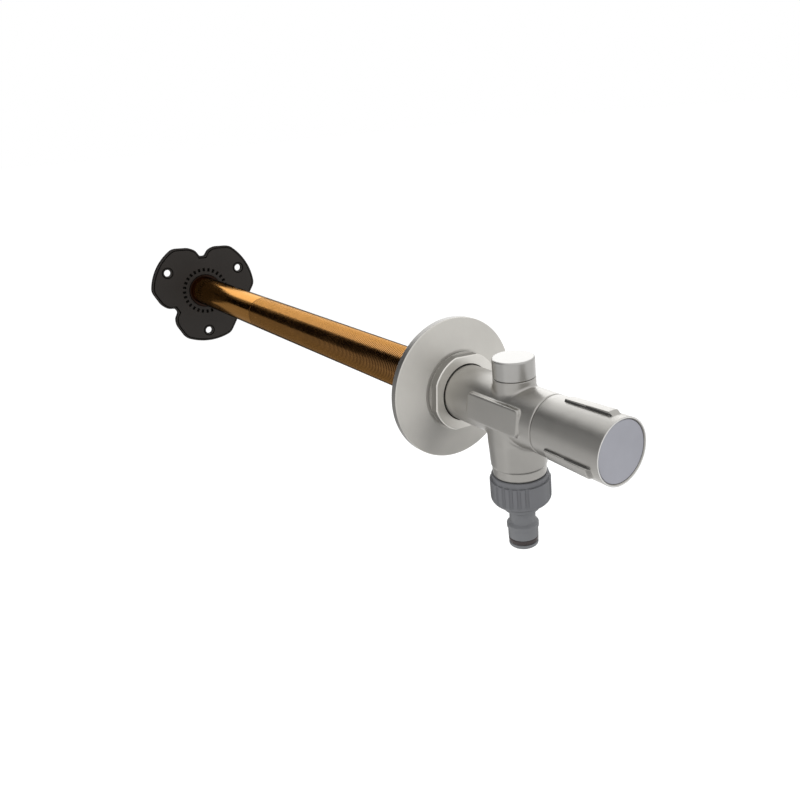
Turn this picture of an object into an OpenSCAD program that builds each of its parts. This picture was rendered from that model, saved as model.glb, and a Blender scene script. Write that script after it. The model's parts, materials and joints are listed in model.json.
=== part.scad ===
// Frost free sillcock for an outside wall.
// The tap body, knob and hose outlet stand in front of the wall. The valve seat sits
// at the warm inner end of a threaded wall tube, so the body drains when it is shut.
//
// Frame: Y runs through the wall, with the room on the +Y side and the garden on -Y.
// Z is up. The origin is the centre of the rosette's back face, on the outer wall face.
// All sizes are millimetres. A turned profile is a list of [radius, place along axis].

/* [Wall] */
// Thickness of the wall between rosette and inner flange
wall_t = 400; // [260:10:500]
// Outside diameter of the threaded wall tube, G 3/4
tube_d = 26.44; // [26:0.02:27]
// Wall of the wall tube
tube_wall = 1.92; // [1.7:0.02:2.1]
// Pitch of the wall tube's thread, 14 to the inch
tube_pitch = 1.814; // [1.4:0.002:2.2]
// Depth of the wall tube's thread
tube_thread_h = 0.9; // [0.5:0.05:1]
// Length of the plain stretch at the wall tube's inner end
tube_plain_l = 148; // [40:1:160]
// Outside diameter of the water pipe inside the wall tube
pipe_d = 18; // [17.6:0.1:18.2]
// Wall of the water pipe
pipe_wall = 1; // [0.8:0.1:1.2]

/* [Rosette and nut] */
// Outside diameter of the rosette
rosette_d = 80; // [76:1:100]
// Height of the rosette's straight rim
rosette_rim = 4; // [3.5:0.1:5]
// Rise of the rosette's cone from the rim to the nut
rosette_rise = 4.1; // [3.5:0.1:6]
// Sheet thickness of the rosette
rosette_wall = 2.2; // [1.6:0.1:2.4]
// Diameter of the rosette nut
nut_d = 43.6; // [42:0.1:46]
// Width across the four wrench flats of the nut
nut_flats = 41.1; // [40:0.1:41.6]
// Height of the nut in front of the rosette
nut_h = 6.4; // [6:0.1:8]
// Height of the nut's round base under the flats
nut_base_h = 1.5; // [1:0.1:2]
// Turn of the nut's flats about the tube
nut_turn = -6; // [-45:1:45]

/* [Body] */
// Outside diameter of the tap body
body_d = 31; // [31:0.2:32]
// Length of the body from the outlet axis to the joint with the knob
nose_l = 26.4; // [25:0.2:34]
// Distance of the vent and outlet axis from the outer wall face
branch_reach = 55; // [52:0.5:57]
// Diameter of the water chamber
chamber_d = 19; // [18:0.5:19.5]
// Depth of the bonnet's socket in the body's front
bonnet_l = 17.4; // [17.2:0.1:19]
// Diameter of the bonnet's socket
bonnet_d = 25; // [24:0.2:25.6]
// Length of the flat side plate
plate_l = 39.8; // [30:0.2:41]
// Width of the flat side plate
plate_w = 16.4; // [14:0.2:18]
// Distance of the side plate's face from the body axis
plate_reach = 16.5; // [16.2:0.1:17]

/* [Outlet] */
// Diameter of the outlet branch where it leaves the body
branch_top_d = 31; // [30:0.2:31]
// Diameter of the outlet branch at its lower rim
branch_low_d = 29.6; // [29.4:0.2:31]
// Depth of the branch's lower rim below the axis
branch_rim_z = 28.6; // [27:0.2:30]
// Diameter of the shoulder under the branch
shoulder_d = 28.4; // [28:0.1:29.2]
// Depth of the shoulder's lower face
shoulder_z = 33.8; // [33:0.1:35]
// Outlet thread diameter, G 3/4
outlet_d = 26.44; // [26.4:0.02:26.5]
// Length of the outlet thread
outlet_thread = 11; // [10:0.2:13]
// Bore of the outlet
outlet_bore_d = 17; // [16:0.5:18]

/* [Hose union] */
// Outside diameter of the union nut's grip
union_d = 32.2; // [32:0.2:34]
// Diameter of the union nut's upper lip
lip_d = 30.2; // [29.8:0.2:30.4]
// Height of the union nut's upper lip
lip_h = 2.8; // [1.6:0.2:4]
// Height of the union nut's rounded lower edge
union_round_h = 4.8; // [4:0.2:6]
// Grip grooves in each of the union nut's three groups
grooves = 5; // [3:1:6]
// Diameter of the quick connect nipple
nipple_d = 16.2; // [15.8:0.1:16.4]
// Diameter of the nipple's stop collar
collar_d = 17.2; // [17:0.1:18]
// Diameter of the nipple's waist
waist_d = 14; // [13.6:0.1:14.4]
// Bore of the nipple
nipple_bore_d = 9.8; // [8:0.1:10.2]

/* [Vent] */
// Diameter of the vent boss
boss_d = 22; // [21.6:0.1:23]
// Height of the vent boss above the axis
boss_z = 19; // [18.6:0.1:20]
// Height of the vent cap
cap_h = 9.7; // [9.4:0.1:12]
// Air gap between boss and cap
air_gap = 0.6; // [0.4:0.1:0.8]
// Lift of the vent float
float_lift = 1.5; // [1:0.1:1.6]

/* [Knob] */
// Diameter of the knob at the body
knob_back_d = 31; // [30.6:0.2:32]
// Diameter of the knob at its front rim
knob_front_d = 32.4; // [32:0.2:34]
// Length of the knob
knob_l = 42.6; // [42:0.2:48]
// Number of grip ribs
ribs = 3; // [3:1:5]
// Width of a grip rib
rib_w = 6.2; // [4:0.2:7]
// Distance of a rib's front edge from the knob axis
rib_reach = 17.8; // [17.2:0.1:18.4]
// Distance of a rib's back edge from the knob axis
rib_back_reach = 17.1; // [16.6:0.1:17.2]
// Length of the knob's plain stretch behind the ribs
rib_start = 9.7; // [4:0.1:14]
// Angle of the first rib from the side, turning upward
rib_turn = 84.4; // [0:0.2:119]
// Outside diameter of the knob's front disc
disc_d = 29.9; // [29:0.1:30]

/* [Wall flange] */
// Reach of the flange's lobes from the axis
lobe_r = 50; // [48:0.5:56]
// Distance of the flange's three flats from the axis
flat_r = 42; // [40.5:0.5:46]
// Depth of the notch in each flat, from the axis
notch_r = 33.6; // [30:0.2:34.6]
// Thickness of the flange
flange_t = 5; // [4:0.2:7]
// Pitch circle diameter of the three screw holes
hole_pcd = 79; // [76:0.5:82]
// Diameter of the screw holes
hole_d = 6.5; // [5:0.1:7]
// Turn of the flange about the tube
flange_turn = -6; // [-30:1:30]
// Number of locking pockets round the opening
pockets = 28; // [20:1:32]

/* [Inlet] */
// Outside diameter of the inlet thread, G 1/2
inlet_d = 20.955; // [20.8:0.005:21]
// Wall of the inlet round the check valve's pocket
inlet_wall = 2.9; // [2.6:0.1:3]
// Length of the inlet thread
inlet_thread = 16; // [14:0.5:18]
// Width across flats of the inlet's hexagon
hex_w = 30; // [28:0.5:32]
// Length of the inlet's hexagon
hex_l = 10; // [8:0.5:12]
// Length of the inlet's spigot in front of the inner wall face
spigot_l = 46; // [44:1:60]

/* [Valve] */
// Bore of the valve seat
seat_d = 10; // [9:0.2:10.4]
// Rod diameter of the stem
stem_d = 7; // [6.6:0.1:7.4]
// Diameter of the stem's head in the bonnet
head_d = 10; // [9.6:0.1:10.4]
// Outside diameter of the stem's drive thread
drive_d = 6; // [5.6:0.1:6.2]
// Lift of the piston from closed to open
lift = 6; // [4:0.5:6.5]
// Width of the piston's square shank
shank_w = 8; // [7.8:0.1:8.4]
// Travel of the check valve
check_travel = 4; // [3:0.5:5]
// Turns of the check valve spring
spring_turns = 7; // [5:1:8]

/* [Fits] */
// Radial clearance of parts screwed or pressed together
fit = 0.05; // [0.03:0.01:0.08]
// Radial clearance of shafts that turn or slide
run = 0.08; // [0.06:0.01:0.1]
// Gap between parts that pass each other freely
gap = 0.4; // [0.3:0.05:0.5]

/* [Hidden] */
$fn = 96;
eps = 0.01;

// Outside, from the wall outward
rosette_front = -(rosette_rim + rosette_rise);
nut_front = rosette_front - nut_h;
neck_end = rosette_front - 3.1;
branch_y = -branch_reach;
body_front = branch_y - nose_l;
knob_back = body_front - gap;
knob_front = knob_back - knob_l;
neck_bore_d = body_d + 1.4;

// Sockets in the body, from the neck inward
tube_shoulder = neck_end - 13.4;
tube_front = tube_shoulder + 1.5;
pipe_shoulder = tube_shoulder - 11.4;
pipe_front = pipe_shoulder + 0.3;
bonnet_shoulder = body_front + bonnet_l;
bonnet_back = bonnet_shoulder - 0.9;
bonnet_nose = body_front - 6.4;
ring_ys = [tube_shoulder - 3, tube_shoulder - 7];

// Inner end, counted from the inner wall face
tube_end = wall_t + 9;
collar_back = wall_t + flange_t + 0.1;
tube_bore_d = tube_d - 2 * tube_wall;
tube_ridges = floor((tube_end - tube_plain_l - tube_front) / tube_pitch);
spigot_front = wall_t - spigot_l;
pipe_end = wall_t - 31.2;
cage_back = wall_t - 31.1;
cage_front = wall_t - 15.05;
seat_y = wall_t - 1;
seat_floor = wall_t + 1;
pocket_y = wall_t + 14;
hex_end = tube_end + hex_l;
inlet_start = hex_end + 2;
inlet_end = inlet_start + inlet_thread;
spigot_d = tube_bore_d - 2 * fit;
pocket_d = inlet_d - 2 * inlet_wall;
chamber_ds = [pipe_d + 2 * fit, pipe_d - 0.8, pipe_d - 1.6];

// Piston in its closed place
washer_t = 3.5;
washer_y = seat_y - fit;
head_y = washer_y - washer_t - fit;
shank_y = head_y - 3.4;
tail_y = cage_back - 7;
drive_start = tail_y - lift - 1;
drive_end = wall_t - 20;
washer_d = seat_d + 3;
piston_d = washer_d + 1.2;

// Check valve cartridge
check_start = pocket_y + 0.2;
check_end = inlet_end - 1;
check_d = pocket_d - 2 * fit;
check_bore_d = pocket_d - 3.6;
check_seat = check_end - 3;
poppet_y = check_seat - fit;
spider_end = check_start + 2.4;

// Knob
web_back = knob_front + 6.4;
web_front = knob_front + 3.2;
sleeve_bore_d = 27.8;
recess_d = disc_d + 0.2;
square_start = bonnet_nose - 3;
square_end = square_start - 10;
square_w = head_d - 2.8;
screw_seat = square_end - 6;

// Hose union
outlet_end = -(shoulder_z + outlet_thread);
washer_top = outlet_end - 0.1;
nipple_top = washer_top - 2.05;
flange_low = nipple_top - 2.75;
union_top = -(shoulder_z + 0.3);
lip_low = union_top - lip_h;
union_floor = flange_low - 0.1;
union_rim = union_floor - 2;
union_bore_d = outlet_d + 2 * run;
barrel_d = 19.5;
barrel_low = union_rim - 3;
flare_top = barrel_low - 1.2;
waist_top = flare_top - 3;
waist_low = waist_top - 3.5;
collar_top = waist_low - 1.6;
collar_low = collar_top - 2.2;
land_low = collar_low - 5.5;
groove_low = land_low - 3;
nipple_low = groove_low - 2.2;
groove_d = 12.8;

// Vent
ledge_z = 12.8;
guide_d = 14;
seat_z = ledge_z + fit + 1.4 + float_lift;
insert_d = 16.9;
cap_base = boss_z + air_gap;
cap_top = cap_base + cap_h;
cap_bore_d = 19.8;
neck_d = 12;

// Solid rod along Y
module rod_y(d, y0, y1) {
    translate([0, y0, 0])
        rotate([-90, 0, 0])
            cylinder(d = d, h = y1 - y0);
}

// Pipe along Y
module pipe_y(d_out, d_in, y0, y1) {
    difference() {
        rod_y(d_out, y0, y1);
        rod_y(d_in, y0 - 1, y1 + 1);
    }
}

// Profile turned about Y
module turned_y(profile) {
    rotate([-90, 0, 0])
        rotate_extrude()
            polygon(profile);
}

// Ring of round section about Y
module o_ring_y(d_in, section, y) {
    translate([0, y, 0])
        rotate([-90, 0, 0])
            rotate_extrude()
                translate([d_in / 2 + section / 2, 0])
                    circle(d = section, $fn = 32);
}

// Bar with a regular cross section along Y, by its width across flats
module bar_y(sides, width, y0, y1) {
    translate([0, y0, 0])
        rotate([-90, 0, 0])
            rotate(180 / sides)
                cylinder(r = width / 2 / cos(180 / sides), h = y1 - y0, $fn = sides);
}

// Everything on the vertical axis of vent and outlet
module on_branch() {
    translate([0, branch_y, 0])
        children();
}

// Solid rod along the branch axis
module rod_z(d, z0, z1) {
    translate([0, 0, z0])
        cylinder(d = d, h = z1 - z0);
}

// Profile turned about the branch axis
module turned_z(profile) {
    rotate_extrude()
        polygon(profile);
}

// Rectangle with round corners, centred
module rounded_rect(w, h, r) {
    square([w - 2 * r, h], center = true);
    square([w, h - 2 * r], center = true);
    for (x = [-1, 1], y = [-1, 1])
        translate([x * (w / 2 - r), y * (h / 2 - r)])
            circle(r = r, $fn = 32);
}

// Copies about Y
module around_y(count, turn = 0) {
    for (k = [0 : count - 1])
        rotate([0, -(turn + k * 360 / count), 0])
            children();
}

// Half of the notch, as shares of its depth and its half width, from the floor outward
notch_w = 14;
notch_path = [[0, 0], [0, 0.1], [0.04, 0.17], [0.16, 0.235], [0.41, 0.325], [0.64, 0.44],
    [0.81, 0.61], [0.89, 0.73], [0.96, 0.86], [1, 1]];

// Notch and flat of the flange on the +X side, from below the axis to above it
function half_notch(inset) = [for (p = notch_path)
    [notch_r - inset + (flat_r - notch_r) * p[0], notch_w * p[1] + inset * (1 - p[1]) * sign(p[1])]];
function notch(inset) = concat(
    [for (p = [len(notch_path) - 1 : -1 : 1]) let (q = half_notch(inset)[p]) [q[0], -q[1]]],
    half_notch(inset));

// Outline of the flange: a disc with three flats, each with a notch
module flange_outline(inset) {
    edge = lobe_r - inset;
    start = acos((flat_r - inset) / edge);
    polygon([for (k = [0 : 2]) each concat(
        [for (q = notch(inset)) let (a = 120 * k - 30, c = cos(a), s = sin(a))
            [c * q[0] - s * q[1], s * q[0] + c * q[1]]],
        [for (j = [0 : 18]) let (a = 120 * k - 30 + start + (120 - 2 * start) * j / 18)
            edge * [cos(a), sin(a)]])]);
}

// Three lobed flange on the inner wall face, with locking pockets round the opening
module wall_flange() {
    step = 0.8;
    pocket_r = 20.5;
    color([0.2, 0.19, 0.18])
        rotate([0, -flange_turn, 0])
            difference() {
                rotate([90, 0, 0])
                    mirror([0, 0, 1])
                        union() {
                            translate([0, 0, wall_t + step])
                                linear_extrude(flange_t - step)
                                    flange_outline(0);
                            translate([0, 0, wall_t])
                                linear_extrude(step + eps)
                                    flange_outline(2.2);
                        }
                rod_y(tube_d + 4.8, wall_t - 1, wall_t + flange_t + 1);
                for (a = [30, 150, 270])
                    rotate([0, -a, 0])
                        translate([hole_pcd / 2, 0, 0]) {
                            rod_y(hole_d, wall_t - 1, wall_t + flange_t + 1);
                            rod_y(hole_d + 3, wall_t + flange_t - 1.2, wall_t + flange_t + 1);
                        }
                around_y(pockets)
                    translate([pocket_r - 1.1, wall_t - 1, -0.8])
                        cube([2.2, 2.2, 1.6]);
            }
}

// Copper coloured collar that carries the flange on the tube
module flange_collar() {
    ring_d = tube_d + 4.5;
    bore_d = tube_d + 2 * fit;
    color([0.55, 0.36, 0.26])
        turned_y([[bore_d / 2, wall_t - 1.2], [ring_d / 2 - 0.5, wall_t - 1.2],
            [ring_d / 2, wall_t - 0.7], [ring_d / 2, collar_back], [tube_d / 2 + 6, collar_back],
            [tube_d / 2 + 6, collar_back + 2.4], [tube_d / 2 + 5.4, collar_back + 3],
            [bore_d / 2, collar_back + 3]]);
}

// Wall tube: a ring ridge for each turn of its thread, and a plain inner end
module wall_tube() {
    crest = tube_d / 2;
    root = crest - tube_thread_h;
    ridges = [for (i = [0 : tube_ridges - 1], half = [0, 1])
        [half == 0 ? root : crest, tube_front + (i + half / 2) * tube_pitch]];
    color([0.78, 0.5, 0.25])
        turned_y(concat([[tube_bore_d / 2, tube_front]], ridges,
            [[crest, tube_end - 0.8], [crest - 0.8, tube_end], [tube_bore_d / 2, tube_end]]));
}

// Water pipe from the valve seat to the body
module water_pipe() {
    color([0.75, 0.45, 0.3])
        pipe_y(pipe_d, pipe_d - 2 * pipe_wall, pipe_front, pipe_end);
}

// Inlet with valve seat, spigot into the tube, hexagon and male thread
module inlet_body() {
    color([0.8, 0.65, 0.35])
        difference() {
            union() {
                rod_y(spigot_d, spigot_front, tube_end + eps);
                intersection() {
                    bar_y(6, hex_w, tube_end, hex_end);
                    turned_y([[0, tube_end], [hex_w / 2 + 0.6, tube_end],
                        [hex_w / 2 + 1.8, tube_end + 1.2], [hex_w / 2 + 1.8, hex_end - 1.2],
                        [hex_w / 2 + 0.6, hex_end], [0, hex_end]]);
                }
                rod_y(inlet_d - 2.2, hex_end - eps, inlet_start + eps);
                turned_y([[0, inlet_start], [inlet_d / 2 - 1, inlet_start],
                    [inlet_d / 2, inlet_start + 1], [inlet_d / 2, inlet_end - 1],
                    [inlet_d / 2 - 1, inlet_end], [0, inlet_end]]);
            }
            rod_y(chamber_ds[0], spigot_front - 1, pipe_end + 0.2);
            rod_y(chamber_ds[1], pipe_end, cage_front + 0.05);
            difference() {
                rod_y(chamber_ds[2], cage_front, seat_floor);
                pipe_y(seat_d + 2.6, seat_d, seat_y, seat_floor + 1);
            }
            rod_y(seat_d, seat_y - 1, pocket_y + 1);
            rod_y(pocket_d, pocket_y, inlet_end + 1);
        }
}

// Check valve cartridge with its seat and the spider that guides the poppet
module check_housing() {
    hub_d = 8.4;
    color([0.88, 0.88, 0.82]) {
        difference() {
            turned_y([[check_bore_d / 2, check_start], [check_d / 2, check_start],
                [check_d / 2, check_end], [4.6, check_end], [4.2, check_end - 0.4],
                [4.2, check_seat], [check_bore_d / 2, check_seat]]);
            pipe_y(check_d + 2, pocket_d - 2.2, check_start + 5, check_start + 6.3);
        }
        difference() {
            union() {
                rod_y(hub_d, check_start, spider_end);
                around_y(3)
                    translate([hub_d / 2 - 1, check_start, -0.9])
                        cube([check_bore_d / 2 - hub_d / 2 + 1.2, spider_end - check_start, 1.8]);
            }
            rod_y(3.1 + 2 * run, check_start - 1, spider_end + 1);
        }
    }
}

// Ring that seals the cartridge in its pocket
module check_seal() {
    color([0.1, 0.1, 0.1])
        o_ring_y(pocket_d - 2.13, 1.04, check_start + 5.65);
}

// Poppet of the check valve, guided by its stem
module check_poppet() {
    color([0.85, 0.5, 0.2])
        turned_y([[0, check_start - 2], [1.1, check_start - 2], [1.55, check_start - 1.5],
            [1.55, poppet_y - 3.4], [2.9, poppet_y - 2.2], [2.9, poppet_y - 1.6],
            [4.8, poppet_y - 1.6],
            [4.8, poppet_y - 0.4], [4.4, poppet_y], [0, poppet_y]]);
}

// Closing spring of the check valve, one unbroken wire of six sides
module check_spring() {
    wire_r = 0.35;
    coil_r = 3.55;
    per_turn = 12;
    steps = spring_turns * per_turn;
    y0 = spider_end + 0.05 + wire_r;
    y1 = poppet_y - 1.6 - 0.1 - wire_r;
    points = [for (k = [0 : steps], s = [0 : 5])
        let (a = 360 * k / per_turn, r = coil_r + wire_r * cos(60 * s))
        [r * cos(a), y0 + (y1 - y0) * k / steps + wire_r * sin(60 * s), r * sin(a)]];
    sides = [for (k = [0 : steps - 1], s = [0 : 5])
        let (p = 6 * k + s, q = 6 * k + (s + 1) % 6)
        each [[p, p + 6, q], [q, p + 6, q + 6]]];
    ends = [[0, 1, 2, 3, 4, 5], [for (s = [5 : -1 : 0]) 6 * steps + s]];
    echo(spring_gap = (y1 - y0) / spring_turns - 2 * wire_r);
    color([0.75, 0.75, 0.78])
        polyhedron(points, concat(sides, ends));
}

// Cage that keeps the square piston from turning and lets the water past
module valve_cage() {
    color([0.82, 0.68, 0.4])
        difference() {
            rod_y(chamber_ds[1] - 2 * fit, cage_back, cage_front);
            bar_y(4, shank_w + 2 * run, cage_back - 1, cage_front + 1);
            around_y(4)
                translate([6.4, 0, 0])
                    rod_y(2.9, cage_back - 1, cage_front + 1);
        }
}

// Piston, drawn by the stem's drive thread and kept square by the cage
module valve_piston() {
    color([0.8, 0.65, 0.35])
        difference() {
            union() {
                bar_y(4, shank_w, tail_y, shank_y + eps);
                turned_y([[0, shank_y], [piston_d / 2 - 0.6, shank_y], [piston_d / 2, shank_y + 0.6],
                    [piston_d / 2, head_y + 1.8], [washer_d / 2 + fit, head_y + 1.8],
                    [washer_d / 2 + fit, head_y], [0, head_y]]);
            }
            rod_y(drive_d + 2 * run, tail_y - 1, drive_end + lift + 2);
            rod_y(3 + 2 * fit, drive_end + lift + 3, head_y + 1);
        }
}

// Rubber washer that closes the seat
module seat_washer() {
    color([0.12, 0.12, 0.12])
        pipe_y(washer_d, 3.3, washer_y - washer_t, washer_y);
}

// Screw that holds the washer on the piston
module washer_screw() {
    color([0.8, 0.8, 0.8])
        difference() {
            turned_y([[0, head_y - 4], [1.5, head_y - 4], [1.5, washer_y], [2.9, washer_y],
                [2.9, washer_y + 0.9], [2.2, washer_y + 1.6], [0, washer_y + 1.6]]);
            translate([-3, washer_y + 0.8, -0.4])
                cube([6, 2, 0.8]);
        }
}

// Stem: square for the knob, sealed head, thrust collar, long rod and drive thread
module stem() {
    color([0.82, 0.68, 0.4])
        difference() {
            union() {
                bar_y(4, square_w, square_end, square_start + eps);
                turned_y([[0, square_start], [head_d / 2 - 0.6, square_start],
                    [head_d / 2, square_start + 0.6], [head_d / 2, bonnet_nose - 1.3],
                    [head_d / 2 - 0.8, bonnet_nose - 1.3], [head_d / 2 - 0.8, bonnet_nose - 0.2],
                    [head_d / 2, bonnet_nose - 0.2], [head_d / 2, bonnet_back - 10.1],
                    [head_d / 2 - 1.6, bonnet_back - 10.1], [head_d / 2 - 1.6, bonnet_back - 8.1],
                    [head_d / 2, bonnet_back - 8.1], [head_d / 2, bonnet_back - 5.1],
                    [head_d / 2 - 1.6, bonnet_back - 5.1], [head_d / 2 - 1.6, bonnet_back - 3.1],
                    [head_d / 2, bonnet_back - 3.1], [head_d / 2, bonnet_back + 1.3],
                    [head_d / 2 + 2.5, bonnet_back + 1.3], [head_d / 2 + 2.5, bonnet_back + 3.3],
                    [stem_d / 2, bonnet_back + 3.3], [stem_d / 2, drive_start - 0.5], [drive_d / 2, drive_start],
                    [drive_d / 2, drive_end - 0.6], [drive_d / 2 - 0.6, drive_end], [0, drive_end]]);
            }
            rod_y(4 + 2 * fit, square_end - 1, square_start);
        }
}

// Two spiders that centre the stem in the water pipe
module stem_guides() {
    hub_d = stem_d + 3.4;
    color([0.9, 0.9, 0.86])
        for (y = [wall_t * 0.3, wall_t * 0.62])
            difference() {
                union() {
                    rod_y(hub_d, y - 4, y + 4);
                    around_y(3, 90)
                        translate([stem_d / 2 + 0.6, y - 4, -0.8])
                            cube([pipe_d / 2 - pipe_wall - fit - stem_d / 2 - 0.7, 8, 1.6]);
                }
                rod_y(stem_d + 2 * run, y - 5, y + 5);
            }
}

// Two rings that seal the stem in the bonnet
module stem_o_rings() {
    color([0.1, 0.1, 0.1])
        for (y = [bonnet_back - 4.1, bonnet_back - 9.1])
            o_ring_y(head_d - 3.16, 1.58, y);
}

// Sliding washer between the stem's collar and the bonnet
module thrust_washer() {
    color([0.95, 0.95, 0.92])
        pipe_y(chamber_d - 1.6, head_d + 0.3, bonnet_back + 0.05, bonnet_back + 1.25);
}

// Bonnet screwed into the body's front, with the bearing and sealing bore of the stem
module bonnet() {
    nose_d = 18;
    color([0.8, 0.65, 0.35])
        difference() {
            union() {
                turned_y([[0, bonnet_nose], [nose_d / 2 - 0.8, bonnet_nose],
                    [nose_d / 2, bonnet_nose + 0.8], [nose_d / 2, body_front + 1],
                    [0, body_front + 1]]);
                turned_y([[0, body_front + 0.4], [bonnet_d / 2 - 1, body_front + 0.4],
                    [bonnet_d / 2 - fit, body_front + 1.4], [bonnet_d / 2 - fit, bonnet_back],
                    [0, bonnet_back]]);
            }
            rod_y(head_d + 2 * run, bonnet_nose - 1, bonnet_back + 1);
            around_y(2)
                translate([nose_d / 2 - 1.4, bonnet_nose - 1, -5])
                    cube([4, -1 - bonnet_nose + body_front, 10]);
        }
}

// Flat seal under the bonnet
module bonnet_seal() {
    color([0.1, 0.1, 0.1])
        pipe_y(bonnet_d - 0.4, chamber_d + 0.6, bonnet_back + 0.02, bonnet_shoulder - 0.03);
}

// Open ring that keeps the stem in the bonnet
module stem_circlip() {
    color([0.6, 0.6, 0.62])
        difference() {
            pipe_y(head_d + 4, head_d - 1.5, bonnet_nose - 1.2, bonnet_nose - 0.3);
            translate([-1.5, bonnet_nose - 2, 0])
                cube([3, 3, head_d]);
        }
}

// Bevelled plate on the body's side, left bare
module side_plate() {
    plate_mid = [branch_y + 0.1, 2.2];
    translate([-plate_reach, plate_mid[0], plate_mid[1]])
        rotate([90, 0, 90])
            hull() {
                linear_extrude(0.1)
                    rounded_rect(plate_l - 1.6, plate_w - 1.6, 1.6);
                translate([0, 0, 0.9])
                    linear_extrude(plate_reach - 10)
                        rounded_rect(plate_l, plate_w, 2.2);
            }
}

// Cast tap body: main barrel, vent boss, tapered outlet branch and side plate
module valve_body() {
    barrel = body_d / 2;
    boss = boss_d / 2;
    color([0.74, 0.73, 0.71])
        difference() {
            union() {
                turned_y([[0, neck_end], [barrel - 0.5, neck_end], [barrel, neck_end - 0.5],
                    [barrel, body_front + 0.4], [barrel - 0.4, body_front], [0, body_front]]);
                on_branch() {
                    turned_z([[0, 0], [boss + 1.2, 0], [boss + 1.2, 10], [boss + 0.6, 11],
                        [boss + 0.2, 12], [boss, 13.4], [boss, boss_z - 0.3], [boss - 0.3, boss_z],
                        [0, boss_z]]);
                    turned_z([[0, -5], [branch_top_d / 2, -5], [branch_top_d / 2, -14],
                        [branch_low_d / 2, -(branch_rim_z - 0.5)],
                        [branch_low_d / 2 - 0.5, -branch_rim_z], [shoulder_d / 2, -branch_rim_z],
                        [shoulder_d / 2, -shoulder_z], [outlet_d / 2 - 1, -shoulder_z],
                        [outlet_d / 2, -(shoulder_z + 1)], [outlet_d / 2, outlet_end + 1],
                        [outlet_d / 2 - 1, outlet_end], [0, outlet_end]]);
                }
                side_plate();
            }
            rod_y(tube_d + 2 * fit, tube_shoulder, neck_end + 1);
            rod_y(pipe_d + 2 * fit, pipe_shoulder, tube_shoulder + 1);
            for (y = ring_ys)
                rod_y(pipe_d + 3.4, y - 1.2, y + 1.2);
            rod_y(chamber_d, bonnet_shoulder - 1, pipe_shoulder + eps);
            rod_y(bonnet_d, body_front - 1, bonnet_shoulder);
            on_branch() {
                rod_z(outlet_bore_d, outlet_end - 1, 0);
                rod_z(10, 0, ledge_z + 1);
                rod_z(guide_d, ledge_z, boss_z);
                rod_z(insert_d + 2 * fit, seat_z, boss_z + 1);
                rod_z(insert_d + 2.3, boss_z - 1, boss_z + 1);
            }
        }
}

// Flat seal between the tube's end and the body
module tube_seal() {
    color([0.1, 0.1, 0.1])
        pipe_y(tube_d - 2, tube_bore_d + 0.2, tube_shoulder + 0.05, tube_front - 0.05);
}

// Two rings that seal the water pipe in the body
module pipe_o_rings() {
    color([0.1, 0.1, 0.1])
        for (y = ring_ys)
            o_ring_y(pipe_d + 0.04, 1.6, y);
}

// Rosette that covers the hole in the wall, a shallow cone with a straight rim
module rosette() {
    rim = rosette_d / 2;
    hub = nut_d / 2 + 1;
    bore = tube_d / 2 + 3.3;
    slope = (rosette_rise) / (rim - hub);
    color([0.76, 0.75, 0.73])
        turned_y([[rim, 0], [rim, -rosette_rim + 0.6], [rim - 0.5, -rosette_rim - 0.1],
            [hub, rosette_front], [bore, rosette_front], [bore, rosette_front + rosette_wall],
            [hub - 1, rosette_front + rosette_wall],
            [rim - 2.6, -rosette_rim - 2.6 * slope + rosette_wall],
            [rim - 2.6, 0]]);
}

// Nut that holds the rosette to the wall, round with four wrench flats
module rosette_nut() {
    edge = nut_d / 2;
    thread_d = tube_d + 2 * fit;
    color([0.74, 0.73, 0.71])
        difference() {
            union() {
                intersection() {
                    turned_y([[0, rosette_front], [edge, rosette_front], [edge, nut_front + 0.6],
                        [edge - 0.6, nut_front], [0, nut_front]]);
                    union() {
                        rod_y(nut_d + 2, rosette_front - nut_base_h, rosette_front);
                        rotate([0, -nut_turn, 0])
                            translate([-nut_flats / 2, nut_front - 1, -nut_flats / 2])
                                cube([nut_flats, nut_h, nut_flats]);
                    }
                }
                rod_y(tube_d + 5.8, rosette_front - 1, -2);
            }
            rod_y(neck_bore_d, nut_front - 1, neck_end + 0.3);
            rod_y(thread_d, neck_end, -1);
        }
}

// Soft ring behind the rosette
module rosette_seal() {
    rim = rosette_d / 2 - 2.7;
    slope = rosette_rise / (rosette_d / 2 - nut_d / 2 - 1);
    back = -rosette_rim - 2.7 * slope + rosette_wall + 0.1;
    color([0.15, 0.15, 0.15])
        turned_y([[rim, -0.1], [rim, back], [rim - 5, back - 5 * slope], [rim - 5, -0.1]]);
}

// Black ring between the nut and the body's neck
module neck_seal() {
    color([0.08, 0.08, 0.08])
        turned_y([[body_d / 2 + 0.05, nut_front + 0.2], [body_d / 2 + 0.3, nut_front - 0.1],
            [neck_bore_d / 2 - 0.05, nut_front - 0.1], [neck_bore_d / 2 - 0.05, neck_end - 0.6],
            [body_d / 2 + 0.05, neck_end - 0.6]]);
}

// Cap over the vent, open to the air through the gap at its foot
module vent_cap() {
    edge = boss_d / 2 - 0.1;
    roof = cap_top - 2.3;
    color([0.78, 0.77, 0.75])
        on_branch()
            difference() {
                union() {
                    turned_z([[cap_bore_d / 2, cap_base + 0.3], [cap_bore_d / 2 + 0.3, cap_base],
                        [edge - 0.2, cap_base], [edge, cap_base + 0.2], [edge, cap_top - 1],
                        [edge - 0.3, cap_top - 0.3], [edge - 1, cap_top], [0, cap_top], [0, roof],
                        [cap_bore_d / 2, roof]]);
                    turned_z([[neck_d / 2 + fit, boss_z + 2], [neck_d / 2 + 1.6, boss_z + 2],
                        [neck_d / 2 + 1.6, roof + eps], [neck_d / 2 + fit, roof + eps]]);
                }
                for (a = [0, 90])
                    rotate(a)
                        translate([-9, -1.2, roof - 1.6])
                            cube([18, 2.4, 1.6]);
            }
}

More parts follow.
